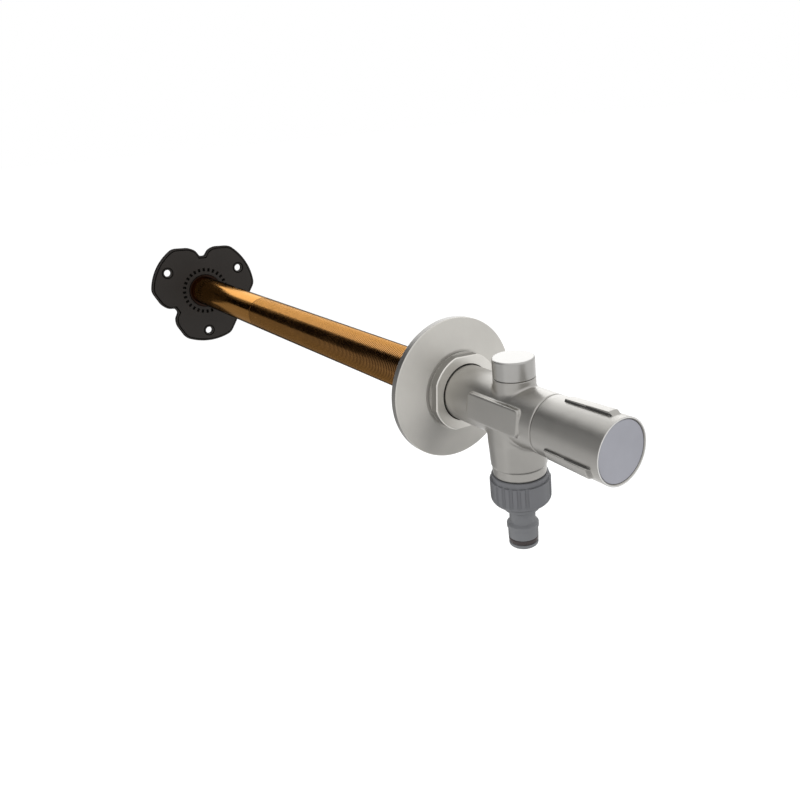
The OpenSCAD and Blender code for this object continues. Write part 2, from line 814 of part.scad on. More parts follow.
// Insert with the air seat, screwed into the boss, with passages in its flange
module vent_insert() {
    color([0.82, 0.68, 0.4])
        on_branch()
            difference() {
                turned_z([[3.6, seat_z + 0.05], [insert_d / 2, seat_z + 0.05],
                    [insert_d / 2, boss_z], [9.5, boss_z], [9.5, boss_z + 1.2],
                    [neck_d / 2, boss_z + 1.2], [neck_d / 2, cap_top - 4.4],
                    [neck_d / 2 - 0.5, cap_top - 3.9], [3.6, cap_top - 3.9]]);
                for (a = [45 : 90 : 315])
                    rotate(a)
                        translate([7.8, -1.5, boss_z - 0.5])
                            cube([4, 3, 3]);
            }
}

// Float that lets air in when it lies down and seals when water lifts it
module vent_float() {
    z0 = ledge_z + fit;
    color([0.9, 0.9, 0.86])
        on_branch()
            difference() {
                turned_z([[0, z0 - 5], [1.2, z0 - 5], [1.6, z0 - 4.6], [1.6, z0],
                    [guide_d / 2 - gap, z0], [guide_d / 2 - gap, z0 + 1.4], [3, z0 + 1.4],
                    [2.4, z0 + 2.2], [0, z0 + 2.2]]);
                for (a = [0 : 90 : 270])
                    rotate(a)
                        translate([4.7, -1.5, z0 - 1])
                            cube([4, 3, 4]);
            }
}

// Ring that seals the insert in the boss
module vent_o_ring() {
    color([0.1, 0.1, 0.1])
        on_branch()
            translate([0, 0, boss_z - 0.52])
                rotate_extrude()
                    translate([insert_d / 2 + 0.55, 0])
                        circle(d = 0.9, $fn = 32);
}

// Grip rib that starts with a step, rises forward and ends short of the rim
module knob_rib() {
    back = knob_back - rib_start;
    front = knob_front + 3.9;
    root = knob_back_d / 2 - 1.2;
    translate([0, 0, -rib_w / 2])
        linear_extrude(rib_w)
            polygon([[root, back], [rib_back_reach - 0.3, back], [rib_back_reach, back - 0.3],
                [rib_reach, front + 1], [rib_reach - 0.4, front + 0.4], [knob_front_d / 2 - 0.4, front],
                [root, front]]);
}

// Knob sleeve with its ribs, rear mouth, web and recess for the front disc
module knob_sleeve() {
    back_r = knob_back_d / 2;
    front_r = knob_front_d / 2;
    color([0.76, 0.75, 0.73])
        difference() {
            union() {
                turned_y([[0, knob_back], [back_r - 0.3, knob_back], [back_r, knob_back - 0.3],
                    [front_r, knob_front + 0.5], [front_r - 0.4, knob_front], [0, knob_front]]);
                around_y(ribs, rib_turn)
                    knob_rib();
            }
            rod_y(sleeve_bore_d, web_back, knob_back + 1);
            rod_y(recess_d, knob_front - 1, web_front);
            rod_y(9.2, web_front - 1, web_back + 1);
        }
}

// Core inside the sleeve: ring, spokes and hub with the square socket
module knob_core() {
    ring_d = sleeve_bore_d - 2 * fit;
    front = web_back + 0.05;
    hub_d = 15;
    color([0.3, 0.3, 0.32])
        difference() {
            union() {
                pipe_y(ring_d, ring_d - 3.2, front, body_front - 3.5);
                rod_y(ring_d - 1, front, front + 2);
                rod_y(hub_d, front, square_start - 1);
                around_y(6)
                    translate([hub_d / 2 - 1, front, -0.8])
                        cube([ring_d / 2 - hub_d / 2 - 0.4, square_start - 2 - front, 1.6]);
            }
            bar_y(4, square_w + 0.2, square_end - 0.4, square_start);
            rod_y(4.6, front - 1, square_start);
            rod_y(8.6, front - 1, screw_seat);
        }
}

// Screw that holds the knob on the stem
module knob_screw() {
    color([0.7, 0.7, 0.72])
        difference() {
            turned_y([[0, screw_seat - 3.2], [3.3, screw_seat - 3.2], [3.7, screw_seat - 2.8],
                [3.7, screw_seat - 0.05], [2, screw_seat - 0.05], [2, square_start - 2.5],
                [0, square_start - 2.5]]);
            bar_y(6, 3, screw_seat - 4, screw_seat - 1.4);
        }
}

// Front disc of the knob, left bare, held by its plug in the web
module knob_disc() {
    face = knob_front + 0.5;
    back = web_front - 0.1;
    color([0.59, 0.6, 0.65])
        turned_y([[0, face], [disc_d / 2 - 0.3, face], [disc_d / 2, face + 0.3],
            [disc_d / 2, back], [4.5, back], [4.5, back + 2.4], [4.1, back + 2.8], [0, back + 2.8]]);
}

// Union nut with three groups of grip grooves, turned on the outlet thread
module union_nut() {
    edge = union_d / 2;
    lip = lip_d / 2;
    hole = barrel_d / 2 + 0.15;
    round_top = union_rim + union_round_h;
    round_low = [for (a = [0 : 15 : 90])
        [hole + 0.3 + (edge - hole - 0.3) * cos(a), round_top - union_round_h * sin(a)]];
    color([0.4, 0.4, 0.42])
        on_branch()
            difference() {
                turned_z(concat([[0, union_top], [lip - 0.4, union_top], [lip, union_top - 0.4],
                    [lip, lip_low], [edge - 0.6, lip_low], [edge, lip_low - 0.6]],
                    round_low, [[0, union_rim]]));
                rod_z(union_bore_d, union_floor, union_top + 1);
                rod_z(2 * hole, union_rim - 1, union_floor + 1);
                for (g = [0 : 2], k = [0 : grooves - 1])
                    rotate(210 + 120 * g + 15 * (k - (grooves - 1) / 2))
                        translate([edge + 0.35, 0, 0])
                            rod_z(2.2, union_rim, union_top + 1);
            }
}

// Flat washer between outlet and nipple
module union_washer() {
    color([0.1, 0.1, 0.1])
        on_branch()
            difference() {
                rod_z(outlet_d - 1, washer_top - 2, washer_top);
                rod_z(outlet_bore_d + 0.2, washer_top - 3, washer_top + 1);
            }
}

// Quick connect nipple: flange, barrel, flared waist, stop collar and ring groove
module hose_nipple() {
    waist = waist_d / 2;
    barrel = barrel_d / 2;
    land = nipple_d / 2;
    flare_r = 0.8;
    flare_h = flare_top - waist_top;
    flare = [for (a = [0 : 15 : 75])
        [waist + flare_r * (1 - sin(a)), flare_top - flare_h * (1 - cos(a))]];
    color([0.46, 0.47, 0.49])
        on_branch()
            difference() {
                turned_z(concat([[0, nipple_top], [outlet_d / 2 - 0.4, nipple_top],
                    [outlet_d / 2 - 0.4, flange_low], [barrel, flange_low], [barrel, barrel_low]],
                    flare,
                    [[waist, waist_top], [waist, waist_low], [collar_d / 2, collar_top],
                    [collar_d / 2, collar_low + 0.3], [land, collar_low], [land, land_low],
                    [groove_d / 2, land_low], [groove_d / 2, groove_low], [land - 0.15, groove_low],
                    [land - 0.15, nipple_low + 1], [land - 1.1, nipple_low], [0, nipple_low]]));
                rod_z(nipple_bore_d, nipple_low - 1, nipple_top + 1);
                turned_z([[0, nipple_top + 1], [outlet_bore_d / 2 - 0.4, nipple_top + 1],
                    [outlet_bore_d / 2 - 0.4, nipple_top], [nipple_bore_d / 2, nipple_top - 4],
                    [0, nipple_top - 4]]);
            }
}

// Seal ring of the nipple
module nipple_o_ring() {
    inner = groove_d / 2 + fit;
    outer = nipple_d / 2 - 0.05;
    color([0.16, 0.1, 0.09])
        on_branch()
            turned_z([[inner, groove_low + 0.1], [outer - 0.5, groove_low + 0.1],
                [outer, groove_low + 0.8], [outer, land_low - 0.8], [outer - 0.5, land_low - 0.1],
                [inner, land_low - 0.1]]);
}

wall_flange();
flange_collar();
wall_tube();
water_pipe();
inlet_body();
check_housing();
check_seal();
check_poppet();
check_spring();
valve_cage();
valve_piston();
seat_washer();
washer_screw();
stem();
stem_guides();
stem_o_rings();
thrust_washer();
bonnet();
bonnet_seal();
stem_circlip();
valve_body();
tube_seal();
pipe_o_rings();
rosette();
rosette_nut();
rosette_seal();
neck_seal();
vent_cap();
vent_insert();
vent_float();
vent_o_ring();
knob_sleeve();
knob_core();
knob_screw();
knob_disc();
union_nut();
union_washer();
hose_nipple();
nipple_o_ring();
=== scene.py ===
import json
import math

import bmesh
import bpy
import numpy as np
from mathutils import Matrix, Vector


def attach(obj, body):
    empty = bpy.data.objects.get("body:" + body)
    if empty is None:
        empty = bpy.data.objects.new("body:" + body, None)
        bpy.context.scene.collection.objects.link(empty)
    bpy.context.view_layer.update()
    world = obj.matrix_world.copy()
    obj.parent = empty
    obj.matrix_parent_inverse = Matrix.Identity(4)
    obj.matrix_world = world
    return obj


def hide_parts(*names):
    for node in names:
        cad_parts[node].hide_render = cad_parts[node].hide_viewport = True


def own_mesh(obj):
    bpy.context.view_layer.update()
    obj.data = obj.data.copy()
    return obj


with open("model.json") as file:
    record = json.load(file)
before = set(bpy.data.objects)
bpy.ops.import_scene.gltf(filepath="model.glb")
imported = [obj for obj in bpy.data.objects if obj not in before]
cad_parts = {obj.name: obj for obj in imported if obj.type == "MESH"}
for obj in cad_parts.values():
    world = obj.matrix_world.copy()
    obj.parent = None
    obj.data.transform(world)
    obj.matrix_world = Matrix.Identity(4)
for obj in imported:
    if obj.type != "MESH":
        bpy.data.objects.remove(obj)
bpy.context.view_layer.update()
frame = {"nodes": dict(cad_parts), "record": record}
MM = 0.001

# Sizes in mm. Y runs along the tube into the house, Z is up, the rosette's back is at Y 0.
BRANCH_Y = -55.0
BODY_R = 15.5
BODY_FRONT = -81.4
NECK_END = -11.2
TUBE_R, TUBE_BORE_R = 13.2, 11.3
# Bore of the pieces that sit on the tube
TUBE_FIT_R = 13.27
THREAD_PITCH = 1.814
FLANGE_FACE = 400.0
KNOB_BACK, KNOB_FRONT = -81.8, -124.4
# Parts of the mesh that lie this close in m are one point, and shorter edges go
SAME_POINT, NO_EDGE = 1e-6, 1e-7


# Mesh tools
def added(name, data):
    """A new object in the scene."""
    obj = bpy.data.objects.new(name, data)
    bpy.context.scene.collection.objects.link(obj)
    return obj


def piece(name, mesh, body, stands_for):
    """The mesh as a piece that rides on a body."""
    obj = added(name, mesh)
    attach(obj, body)
    if stands_for:
        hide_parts(*stands_for)
    return obj


def new_mesh(name, verts, faces, body, stands_for=(), crease=40.0):
    """A piece of mesh, in mm, whose edges are sharp where they bend more than `crease`."""
    mesh = bpy.data.meshes.new(name)
    mesh.from_pydata([tuple(c * MM for c in v) for v in verts], [], [tuple(f) for f in faces])
    mesh.validate()
    bm = bmesh.new()
    bm.from_mesh(mesh)
    bmesh.ops.remove_doubles(bm, verts=bm.verts, dist=SAME_POINT)
    bmesh.ops.dissolve_degenerate(bm, edges=bm.edges, dist=NO_EDGE)
    bmesh.ops.recalc_face_normals(bm, faces=bm.faces)
    for f in bm.faces:
        f.smooth = True
    limit = math.radians(crease)
    for e in bm.edges:
        e.smooth = not (e.is_manifold and e.calc_face_angle(0.0) > limit)
    bm.to_mesh(mesh)
    bm.free()
    return piece(name, mesh, body, stands_for)


# A corner flatter than this, in radians, stays as it is
FLAT_CORNER = 0.02
# Most of a side that one corner's rounding may take, and degrees between its points
SIDE_SHARE, ROUND_STEP = 0.48, 15


def rounded(path):
    """Points of a closed profile whose corners, given as (a, b, radius), are rounded."""
    pts = [tuple(map(float, p)) for p in path]
    out = []
    count = len(pts)
    for i, (x, y, r) in enumerate(pts):
        if r <= 0:
            out.append((x, y))
            continue
        p = np.array([x, y])
        a = np.array(pts[i - 1][:2]) - p
        b = np.array(pts[(i + 1) % count][:2]) - p
        la, lb = np.linalg.norm(a), np.linalg.norm(b)
        a, b = a / la, b / lb
        half = math.acos(max(-1.0, min(1.0, float(a @ b)))) / 2
        if half > math.pi / 2 - FLAT_CORNER:
            out.append((x, y))
            continue
        cut = min(r / math.tan(half), SIDE_SHARE * la, SIDE_SHARE * lb)
        r = cut * math.tan(half)
        mid = (a + b) / np.linalg.norm(a + b)
        centre = p + mid * (r / math.sin(half))
        start, end = p + a * cut - centre, p + b * cut - centre
        turn = math.pi - 2 * half
        steps = max(2, int(math.ceil(math.degrees(turn) / ROUND_STEP)))
        sign = 1.0 if start[0] * end[1] - start[1] * end[0] > 0 else -1.0
        for k in range(steps + 1):
            t = sign * turn * k / steps
            c, s = math.cos(t), math.sin(t)
            q = centre + np.array([c * start[0] - s * start[1], s * start[0] + c * start[1]])
            out.append((float(q[0]), float(q[1])))
    return out


def on_axis(axis, r, c, s, h):
    """The point at radius r and place h on the tube's axis "y" or the branch's axis "z"."""
    return (r * c, h, r * s) if axis == "y" else (r * c, BRANCH_Y + r * s, h)


def off_spoke(a, count, at=0.0):
    """Degrees from angle a, in radians, to the nearest of even spokes, one of them at `at`."""
    part = 360 / count
    return (math.degrees(a) - at + part / 2) % part - part / 2


def turned(name, path, axis, body, stands_for=(), seg=128, shape=None, angles=None,
           crease=40.0):
    """A closed profile of (radius, place, corner radius) turned about one of the two axes.

    shape(radius, place, angle) may change the radius."""
    prof = rounded(path)
    if angles is None:
        angles = [2 * math.pi * k / seg for k in range(seg)]
    n, m = len(angles), len(prof)
    verts, faces = [], []
    for a in angles:
        c, s = math.cos(a), math.sin(a)
        for r, h in prof:
            if shape is not None:
                r = shape(r, h, a)
            verts.append(on_axis(axis, r, c, s, h))
    for i in range(n):
        j = (i + 1) % n
        for k in range(m):
            q = (k + 1) % m
            faces.append((i * m + k, i * m + q, j * m + q, j * m + k))
    return new_mesh(name, verts, faces, body, stands_for, crease=crease)


# Solids by distance field
# How often a net is pulled onto its field, how far to each side in mm the field's slope is
# taken, and the least slope
PULLS, PROBE, NO_SLOPE = 3, 0.02, 1e-6


def net(field, low, high, step):
    """Vertices and quads of the surface field = 0, by surface nets, pulled onto the field."""
    axes = [np.arange(a, b + step, step) for a, b in zip(low, high)]
    grid = np.meshgrid(*axes, indexing="ij")
    f = field(*grid)
    nx, ny, nz = (n - 1 for n in f.shape)
    corner = {}
    for i in (0, 1):
        for j in (0, 1):
            for k in (0, 1):
                corner[i, j, k] = f[i:i + nx, j:j + ny, k:k + nz]
    total = sum((c < 0).astype(np.int8) for c in corner.values())
    live = (total > 0) & (total < 8)
    index = np.full(live.shape, -1, np.int64)
    index[live] = np.arange(live.sum())
    base = np.argwhere(live).astype(float)
    place = np.zeros_like(base)
    hits = np.zeros(len(base))
    for a in corner:
        for axis in range(3):
            if a[axis]:
                continue
            b = tuple(1 if n == axis else a[n] for n in range(3))
            fa, fb = corner[a][live], corner[b][live]
            cross = (fa < 0) != (fb < 0)
            t = np.where(cross, fa / np.where(cross, fa - fb, 1.0), 0.0)
            p = np.tile(np.array(a, float), (len(base), 1))
            p[:, axis] += t
            place += p * cross[:, None]
            hits += cross
    verts = (base + place / hits[:, None]) * step + np.array(low)
    faces = []
    inside = f < 0
    for axis in range(3):
        u, v = [n for n in range(3) if n != axis]
        lo = [slice(1, -1)] * 3
        hi = [slice(1, -1)] * 3
        lo[axis] = slice(0, -1)
        hi[axis] = slice(1, None)
        flip = inside[tuple(lo)] != inside[tuple(hi)]
        where = np.argwhere(flip)
        where[:, u] += 1
        where[:, v] += 1
        out = ~inside[tuple(where.T)]
        quad = []
        for du, dv in ((0, 0), (1, 0), (1, 1), (0, 1)):
            c = where.copy()
            c[:, u] -= du
            c[:, v] -= dv
            quad.append(index[tuple(c.T)])
        quad = np.stack(quad, 1)
        back = out if axis != 1 else ~out
        quad[back] = quad[back][:, ::-1]
        faces.append(quad)
    faces = np.concatenate(faces)
    for _ in range(PULLS):
        g, d = gradient(field, verts)
        verts -= np.clip(d, -step, step)[:, None] * g
    g, _ = gradient(field, verts)
    return verts, faces, g


def gradient(field, v):
    """Unit gradient of a field at points, and the field there over its slope."""
    g = np.empty_like(v)
    for n in range(3):
        a, b = v.copy(), v.copy()
        a[:, n] += PROBE
        b[:, n] -= PROBE
        g[:, n] = (field(*a.T) - field(*b.T)) / (2 * PROBE)
    size = np.maximum(np.linalg.norm(g, axis=1), NO_SLOPE)
    d = field(*v.T) / size
    return g / size[:, None], d


# Materials
def bare_nodes(owner, kind="ShaderNodeOutputMaterial"):
    """The nodes of a material or world, with only an output left, and that output."""
    owner.use_nodes = True
    nt = owner.node_tree
    nt.nodes.clear()
    return nt, nt.nodes.new(kind)


def material(name, slot):
    """A new material for a slot, with its nodes and its surface shader."""
    mat = bpy.data.materials.new(name)
    nt, out = bare_nodes(mat)
    bsdf = nt.nodes.new("ShaderNodeBsdfPrincipled")
    nt.links.new(bsdf.outputs["BSDF"], out.inputs["Surface"])
    mat["slot"] = slot
    return mat, nt, bsdf


def noise(nt, scale, detail, rough):
    """A cloud of values round a half, fixed to the piece."""
    tex = nt.nodes.new("ShaderNodeTexNoise")
    tex.inputs["Scale"].default_value = scale
    tex.inputs["Detail"].default_value = detail
    tex.inputs["Roughness"].default_value = rough
    coord = nt.nodes.new("ShaderNodeTexCoord")
    nt.links.new(coord.outputs["Object"], tex.inputs["Vector"])
    return tex.outputs["Fac"]


def ramp(nt, fac, stops):
    """A colour between two stops of (position, colour)."""
    node = nt.nodes.new("ShaderNodeValToRGB")
    for e, (pos, col) in zip(node.color_ramp.elements, stops):
        e.position = pos
        e.color = (*col, 1.0)
    nt.links.new(fac, node.inputs["Fac"])
    return node.outputs["Color"]


def span(nt, fac, lo, hi, a=0.3, b=0.7):
    """A value from lo to hi where `fac` goes from a to b."""
    node = nt.nodes.new("ShaderNodeMapRange")
    node.inputs["From Min"].default_value = a
    node.inputs["From Max"].default_value = b
    node.inputs["To Min"].default_value = lo
    node.inputs["To Max"].default_value = hi
    nt.links.new(fac, node.inputs["Value"])
    return node.outputs["Result"]


def maths(nt, operation, a, b):
    """One sum of two values, such as ADD or MAXIMUM."""
    node = nt.nodes.new("ShaderNodeMath")
    node.operation = operation
    nt.links.new(a, node.inputs[0])
    nt.links.new(b, node.inputs[1])
    return node.outputs[0]


def bump(nt, bsdf, height, strength, distance):
    """Let a value raise the surface by up to `distance`, in m."""
    node = nt.nodes.new("ShaderNodeBump")
    node.inputs["Strength"].default_value = strength
    node.inputs["Distance"].default_value = distance
    nt.links.new(height, node.inputs["Height"])
    nt.links.new(node.outputs["Normal"], bsdf.inputs["Normal"])


def tint(col, k):
    """A colour times k."""
    return tuple(min(1.0, c * k) for c in col)


# Scale and detail of the clouds of colour, and of a plating's and a mould's fine grain
PLATED_CLOUD, MOULDED_CLOUD = (55.0, 4.0), (40.0, 3.0)
SATIN_GRAIN, MOULD_GRAIN = 2600.0, 1500.0
SATIN_DETAIL, MOULD_DETAIL = 2.0, 2.5
CLOUD_ROUGH, GRAIN_ROUGH = 0.55, 0.6
# Where a cloud's two shades of colour stand
CLOUD_STOPS = (0.3, 0.7)
# Most that gloss varies, for metal and for mouldings
METAL_VARIES, MOULD_VARIES = 0.03, 0.05
# Bump heights in m
FINE_BUMP, MOULD_BUMP = 0.00001, 0.00002


def cloudy(nt, bsdf, cloud, col, spread):
    """Give a material its colour, a little darker and lighter in the cloud's two ends."""
    shades = zip(CLOUD_STOPS, (tint(col, 1 - spread), tint(col, 1 + spread)))
    nt.links.new(ramp(nt, cloud, list(shades)), bsdf.inputs["Base Color"])


def plated(name, slot, col, rough, grain=SATIN_GRAIN, depth=FINE_BUMP, strength=0.25,
           spread=0.05, edge=None):
    """Metal with a satin face: fine grain in the bump, soft cloud in colour and gloss."""
    mat, nt, bsdf = material(name, slot)
    bsdf.inputs["Metallic"].default_value = 1.0
    cloud = noise(nt, *PLATED_CLOUD, CLOUD_ROUGH)
    fine = noise(nt, grain, SATIN_DETAIL, GRAIN_ROUGH)
    cloudy(nt, bsdf, cloud, col, spread)
    broad = span(nt, cloud, rough - METAL_VARIES, rough + METAL_VARIES)
    small = span(nt, fine, -METAL_VARIES, METAL_VARIES)
    nt.links.new(maths(nt, "ADD", broad, small), bsdf.inputs["Roughness"])
    bump(nt, bsdf, fine, strength, depth)
    if edge is not None:
        bsdf.inputs["Specular Tint"].default_value = (*edge, 1.0)
    return mat


def moulded(name, slot, col, rough, grain=MOULD_GRAIN, depth=MOULD_BUMP, strength=0.3,
            spread=0.06, specular=0.5):
    """Moulded plastic or rubber: fine spark-eroded grain and a faint cloud of colour."""
    mat, nt, bsdf = material(name, slot)
    cloud = noise(nt, *MOULDED_CLOUD, CLOUD_ROUGH)
    fine = noise(nt, grain, MOULD_DETAIL, GRAIN_ROUGH)
    cloudy(nt, bsdf, cloud, col, spread)
    nt.links.new(span(nt, fine, rough - MOULD_VARIES, rough + MOULD_VARIES),
                 bsdf.inputs["Roughness"])
    bsdf.inputs["Specular IOR Level"].default_value = specular
    bump(nt, bsdf, fine, strength, depth)
    return mat


# Grain of drawn tube, of copper and of plain turned metal: its scale, height in m and strength
DRAWN = (700.0, FINE_BUMP, 0.12)
SPUN = (700.0, FINE_BUMP, 0.2)
RAW = (900.0, FINE_BUMP, 0.2)
# Grain of the knob's disc
DISC_GRAIN = (2200.0, FINE_BUMP, 0.25)

NICKEL = plated("nickel_satin", "satin_nickel", (0.42, 0.408, 0.385), 0.34)
# A lighter copy of the satin nickel for the vent cap: painted light.
NICKEL_CAP_LIT = plated("nickel_cap_painted_light", "satin_nickel", (0.44, 0.432, 0.415), 0.32)
# A lighter copy of the satin nickel for the rosette: painted light.
NICKEL_ROSETTE_LIT = plated("nickel_rosette_painted_light", "satin_nickel", (0.64, 0.622, 0.582), 0.42)
# A still lighter copy of the satin nickel for the nut's faces: painted light.
NICKEL_NUT_LIT = plated("nickel_nut_painted_light", "satin_nickel", (0.80, 0.78, 0.735), 0.42)
# A light copy of the satin nickel for the knob's front rim: painted highlight.
NICKEL_RIM_HIGHLIGHT = plated("nickel_rim_painted_highlight", "satin_nickel", (0.72, 0.715, 0.70), 0.3)
BRASS = plated("brass_raw", "raw_brass", (0.70, 0.50, 0.22), 0.3, *RAW)
# A darker copy of the satin nickel for the walls of rosette and nut: painted shade.
NICKEL_WALL_SHADE = plated("nickel_wall_painted_shade", "satin_nickel", (0.31, 0.302, 0.288), 0.36)
# A near-black copy of the satin nickel for the sides of the knob's ribs: painted shade.
NICKEL_RIB_SHADE = plated("nickel_rib_painted_shade", "satin_nickel", (0.10, 0.098, 0.094), 0.4)
BRONZE = plated("tube_bronze", "bronze_tube", (0.40, 0.205, 0.078), 0.165, *DRAWN,
                edge=(1.0, 0.74, 0.48))
# A near-black copy of the bronze for the valleys of the tube's thread: painted shade.
TUBE_VALLEY_SHADE = plated("tube_valley_painted_shade", "bronze_tube", (0.016, 0.007, 0.003), 0.4, *DRAWN,
                edge=(0.2, 0.1, 0.05))
# Near-black copper for the collar that sits recessed in the flange: painted shade.
COPPER_SHADED = plated("copper_painted_shade", "copper", (0.022, 0.012, 0.009), 0.2, *SPUN,
                edge=(0.35, 0.22, 0.15))
STEEL = plated("steel_plain", "steel", (0.55, 0.55, 0.56), 0.3, *RAW)
BLACK = moulded("plastic_black", "black_plastic", (0.028, 0.025, 0.023), 0.45)
FLANGE = moulded("plastic_flange", "black_plastic", (0.034, 0.030, 0.027), 0.5,
                 specular=0.15)
DARK = moulded("plastic_dark_grey", "dark_grey_plastic", (0.178, 0.181, 0.194), 0.45)
GREY = moulded("plastic_grey", "grey_plastic", (0.205, 0.21, 0.222), 0.42)
DISC = moulded("plastic_disc", "disc_plastic", (0.41, 0.415, 0.465), 0.5, *DISC_GRAIN)
WHITE = moulded("plastic_white", "white_plastic", (0.75, 0.75, 0.7), 0.4)
RUBBER = moulded("rubber_black", "black_rubber", (0.012, 0.012, 0.012), 0.55, specular=0.1)
BROWN = moulded("rubber_brown", "brown_rubber", (0.055, 0.042, 0.042), 0.3, specular=0.4)


def scaled(nt, colour, dark, keep):
    """A colour socket times `dark` where `keep` is 0 and as it is where `keep` is 1."""
    deep = nt.nodes.new("ShaderNodeVectorMath")
    deep.operation = "SCALE"
    deep.inputs["Scale"].default_value = dark
    nt.links.new(colour, deep.inputs[0])
    mix = nt.nodes.new("ShaderNodeMix")
    mix.data_type = "RGBA"
    nt.links.new(keep, mix.inputs["Factor"])
    nt.links.new(deep.outputs["Vector"], mix.inputs[6])
    nt.links.new(colour, mix.inputs[7])
    return mix.outputs[2]


def shade(mat, place, dark, start, stop):
    """Paint shade into a material where `place` is at `start`, fading out at `stop`.

    `place` is "depth", the place along the tube in mm, or "slant", how far the face is turned
    from the eye."""
    nt = mat.node_tree
    bsdf = next(n for n in nt.nodes if n.type == "BSDF_PRINCIPLED")
    if place == "slant":
        layer = nt.nodes.new("ShaderNodeLayerWeight")
        layer.inputs["Blend"].default_value = 0.5
        keep = span(nt, layer.outputs["Facing"], 0.0, 1.0, start, stop)
    else:
        coord = nt.nodes.new("ShaderNodeTexCoord")
        split = nt.nodes.new("ShaderNodeSeparateXYZ")
        nt.links.new(coord.outputs["Object"], split.inputs["Vector"])
        keep = span(nt, split.outputs["Y"], 0.0, 1.0, start * MM, stop * MM)
    metal = bsdf.inputs["Metallic"].default_value == 1.0
    for name in ("Base Color", "Specular Tint"):
        socket = bsdf.inputs[name]
        if socket.is_linked:
            colour = socket.links[0].from_socket
        elif metal:
            plain = nt.nodes.new("ShaderNodeRGB")
            plain.outputs[0].default_value = socket.default_value
            colour = plain.outputs[0]
        else:
            continue
        nt.links.new(scaled(nt, colour, dark, keep), socket)
    if not metal:
        gloss = bsdf.inputs["Specular IOR Level"]
        level = gloss.default_value
        nt.links.new(span(nt, keep, level * dark, level, 0.0, 1.0), gloss)


# Painted shade: a dark outline on the tube and the plastics, and darkness in the flange's
# hollows. The share of the colour left there, with the places where the painted shade is full
# and where it ends
shade(BRONZE, "slant", 0.04, 0.89, 0.79)
# Painted shade in the flange's hollows: its pockets, rings and fine lines.
shade(FLANGE, "depth", 0.2, FLANGE_FACE + 1.2, FLANGE_FACE + 0.9)
shade(DARK, "slant", 0.3, 0.95, 0.5)
shade(GREY, "slant", 0.3, 0.95, 0.5)

SLOT_MATERIAL = {
    "satin_nickel": NICKEL, "raw_brass": BRASS, "bronze_tube": BRONZE, "copper": COPPER_SHADED,
    "black_plastic": BLACK, "dark_grey_plastic": DARK, "grey_plastic": GREY,
    "disc_plastic": DISC, "white_plastic": WHITE, "black_rubber": RUBBER,
    "brown_rubber": BROWN, "steel": STEEL,
}

for part in frame["record"]["subparts"]:
    obj = frame["nodes"][part["node"]]
    obj.data.materials.clear()
    obj.data.materials.append(SLOT_MATERIAL[part["material_slot"]])


# Fields
def smin(a, b, k):
    """The smaller of two fields, blended where they differ by less than k."""
    h = np.maximum(k - np.abs(a - b), 0.0) / k
    return np.minimum(a, b) - h * h * k / 4


def smax(a, b, k):
    """The larger of two fields, blended in the same way."""
    return -smin(-a, -b, k)


def rod(a, b, radius):
    """Field of an endless round rod."""
    return np.hypot(a, b) - radius


def slab(t, low, high):
    """Field of the space between two planes."""
    return np.maximum(low - t, t - high)


def netted(name, field, low, high, step, body, stands_for):
    """A piece that is the surface of a distance field between two corners, in mm."""
    verts, faces, normals = net(field, low, high, step)
    mesh = bpy.data.meshes.new(name)
    mesh.from_pydata((verts * MM).tolist(), [], faces.tolist())
    mesh.validate()
    mesh.polygons.foreach_set("use_smooth", [True] * len(mesh.polygons))
    mesh.normals_split_custom_set_from_vertices(normals.tolist())
    mesh.update()
    return piece(name, mesh, body, stands_for)


# Share in percent of a face's size in the normals at its corners
FACE_WEIGHT = 60


def dress(obj, mat, flat=True):
    """Give a piece its material, and normals that keep its larger faces flat."""
    obj.data.materials.append(mat)
    if flat:
        even = obj.modifiers.new("even", "WEIGHTED_NORMAL")
        even.keep_sharp = True
        even.weight = FACE_WEIGHT
    return obj


def angle_list(breaks, step=3.0):
    """Angles in radians round a circle, with every break in degrees hit exactly."""
    marks = sorted(set(round(b % 360, 4) for b in breaks))
    out = []
    for a, b in zip(marks, marks[1:] + [marks[0] + 360]):
        n = max(1, int(math.ceil((b - a) / step)))
        out += [a + (b - a) * k / n for k in range(n)]
    return [math.radians(a) for a in out]


# Valve body
BODY_EDGE = 1.1
BRANCH_LOW, BRANCH_EDGE, BRANCH_FOOT_R = -28.6, 0.9, 14.8
TAPER_START, TAPER_L = -14.0, 14.1
BOSS_R, BOSS_TOP, BOSS_EDGE = 11.0, 19.1, 0.4
SHOULDER_R, SHOULDER_LOW, SHOULDER_TOP, SHOULDER_EDGE = 14.2, -33.8, -20.0, 0.6
ROOT_R, OUTLET_END, ROOT_TOP, ROOT_EDGE = 12.35, -44.8, -30.0, 1.0
PLATE_REACH, PLATE_FOOT, PLATE_CORNER = 16.4, 8.0, 2.6
PLATE_BEVEL, PLATE_EDGE = 0.7, 0.4
PLATE_Y, PLATE_HALF_L, PLATE_HALF_W = -53.9, 19.6, 7.1
PLATE_TURN = math.radians(10.0)
PLATE_COS, PLATE_SIN = math.cos(PLATE_TURN), math.sin(PLATE_TURN)
BRANCH_FILLET, BOSS_FILLET, PLATE_FILLET, STEP_FILLET = 1.8, 1.4, 0.8, 0.5
# Radius, start and end of each bore along the barrel, and of each one along the branch
BARREL_BORES = [(TUBE_FIT_R, -24.6, 0.0), (9.05, -36.0, -20.0), (9.5, -70.0, -36.0),
                (12.5, -90.0, -64.0)]
BRANCH_BORES = [(8.5, -60.0, 0.0), (5.0, 0.0, 14.0), (7.0, 12.8, 19.5), (8.5, 15.75, 25.0),
                (9.6, 18.0, 25.0)]
BORE_EDGE = 0.3
BODY_LOW, BODY_HIGH, BODY_STEP = (-18, -83, -47.5), (17, -9.5, 20.5), 0.48


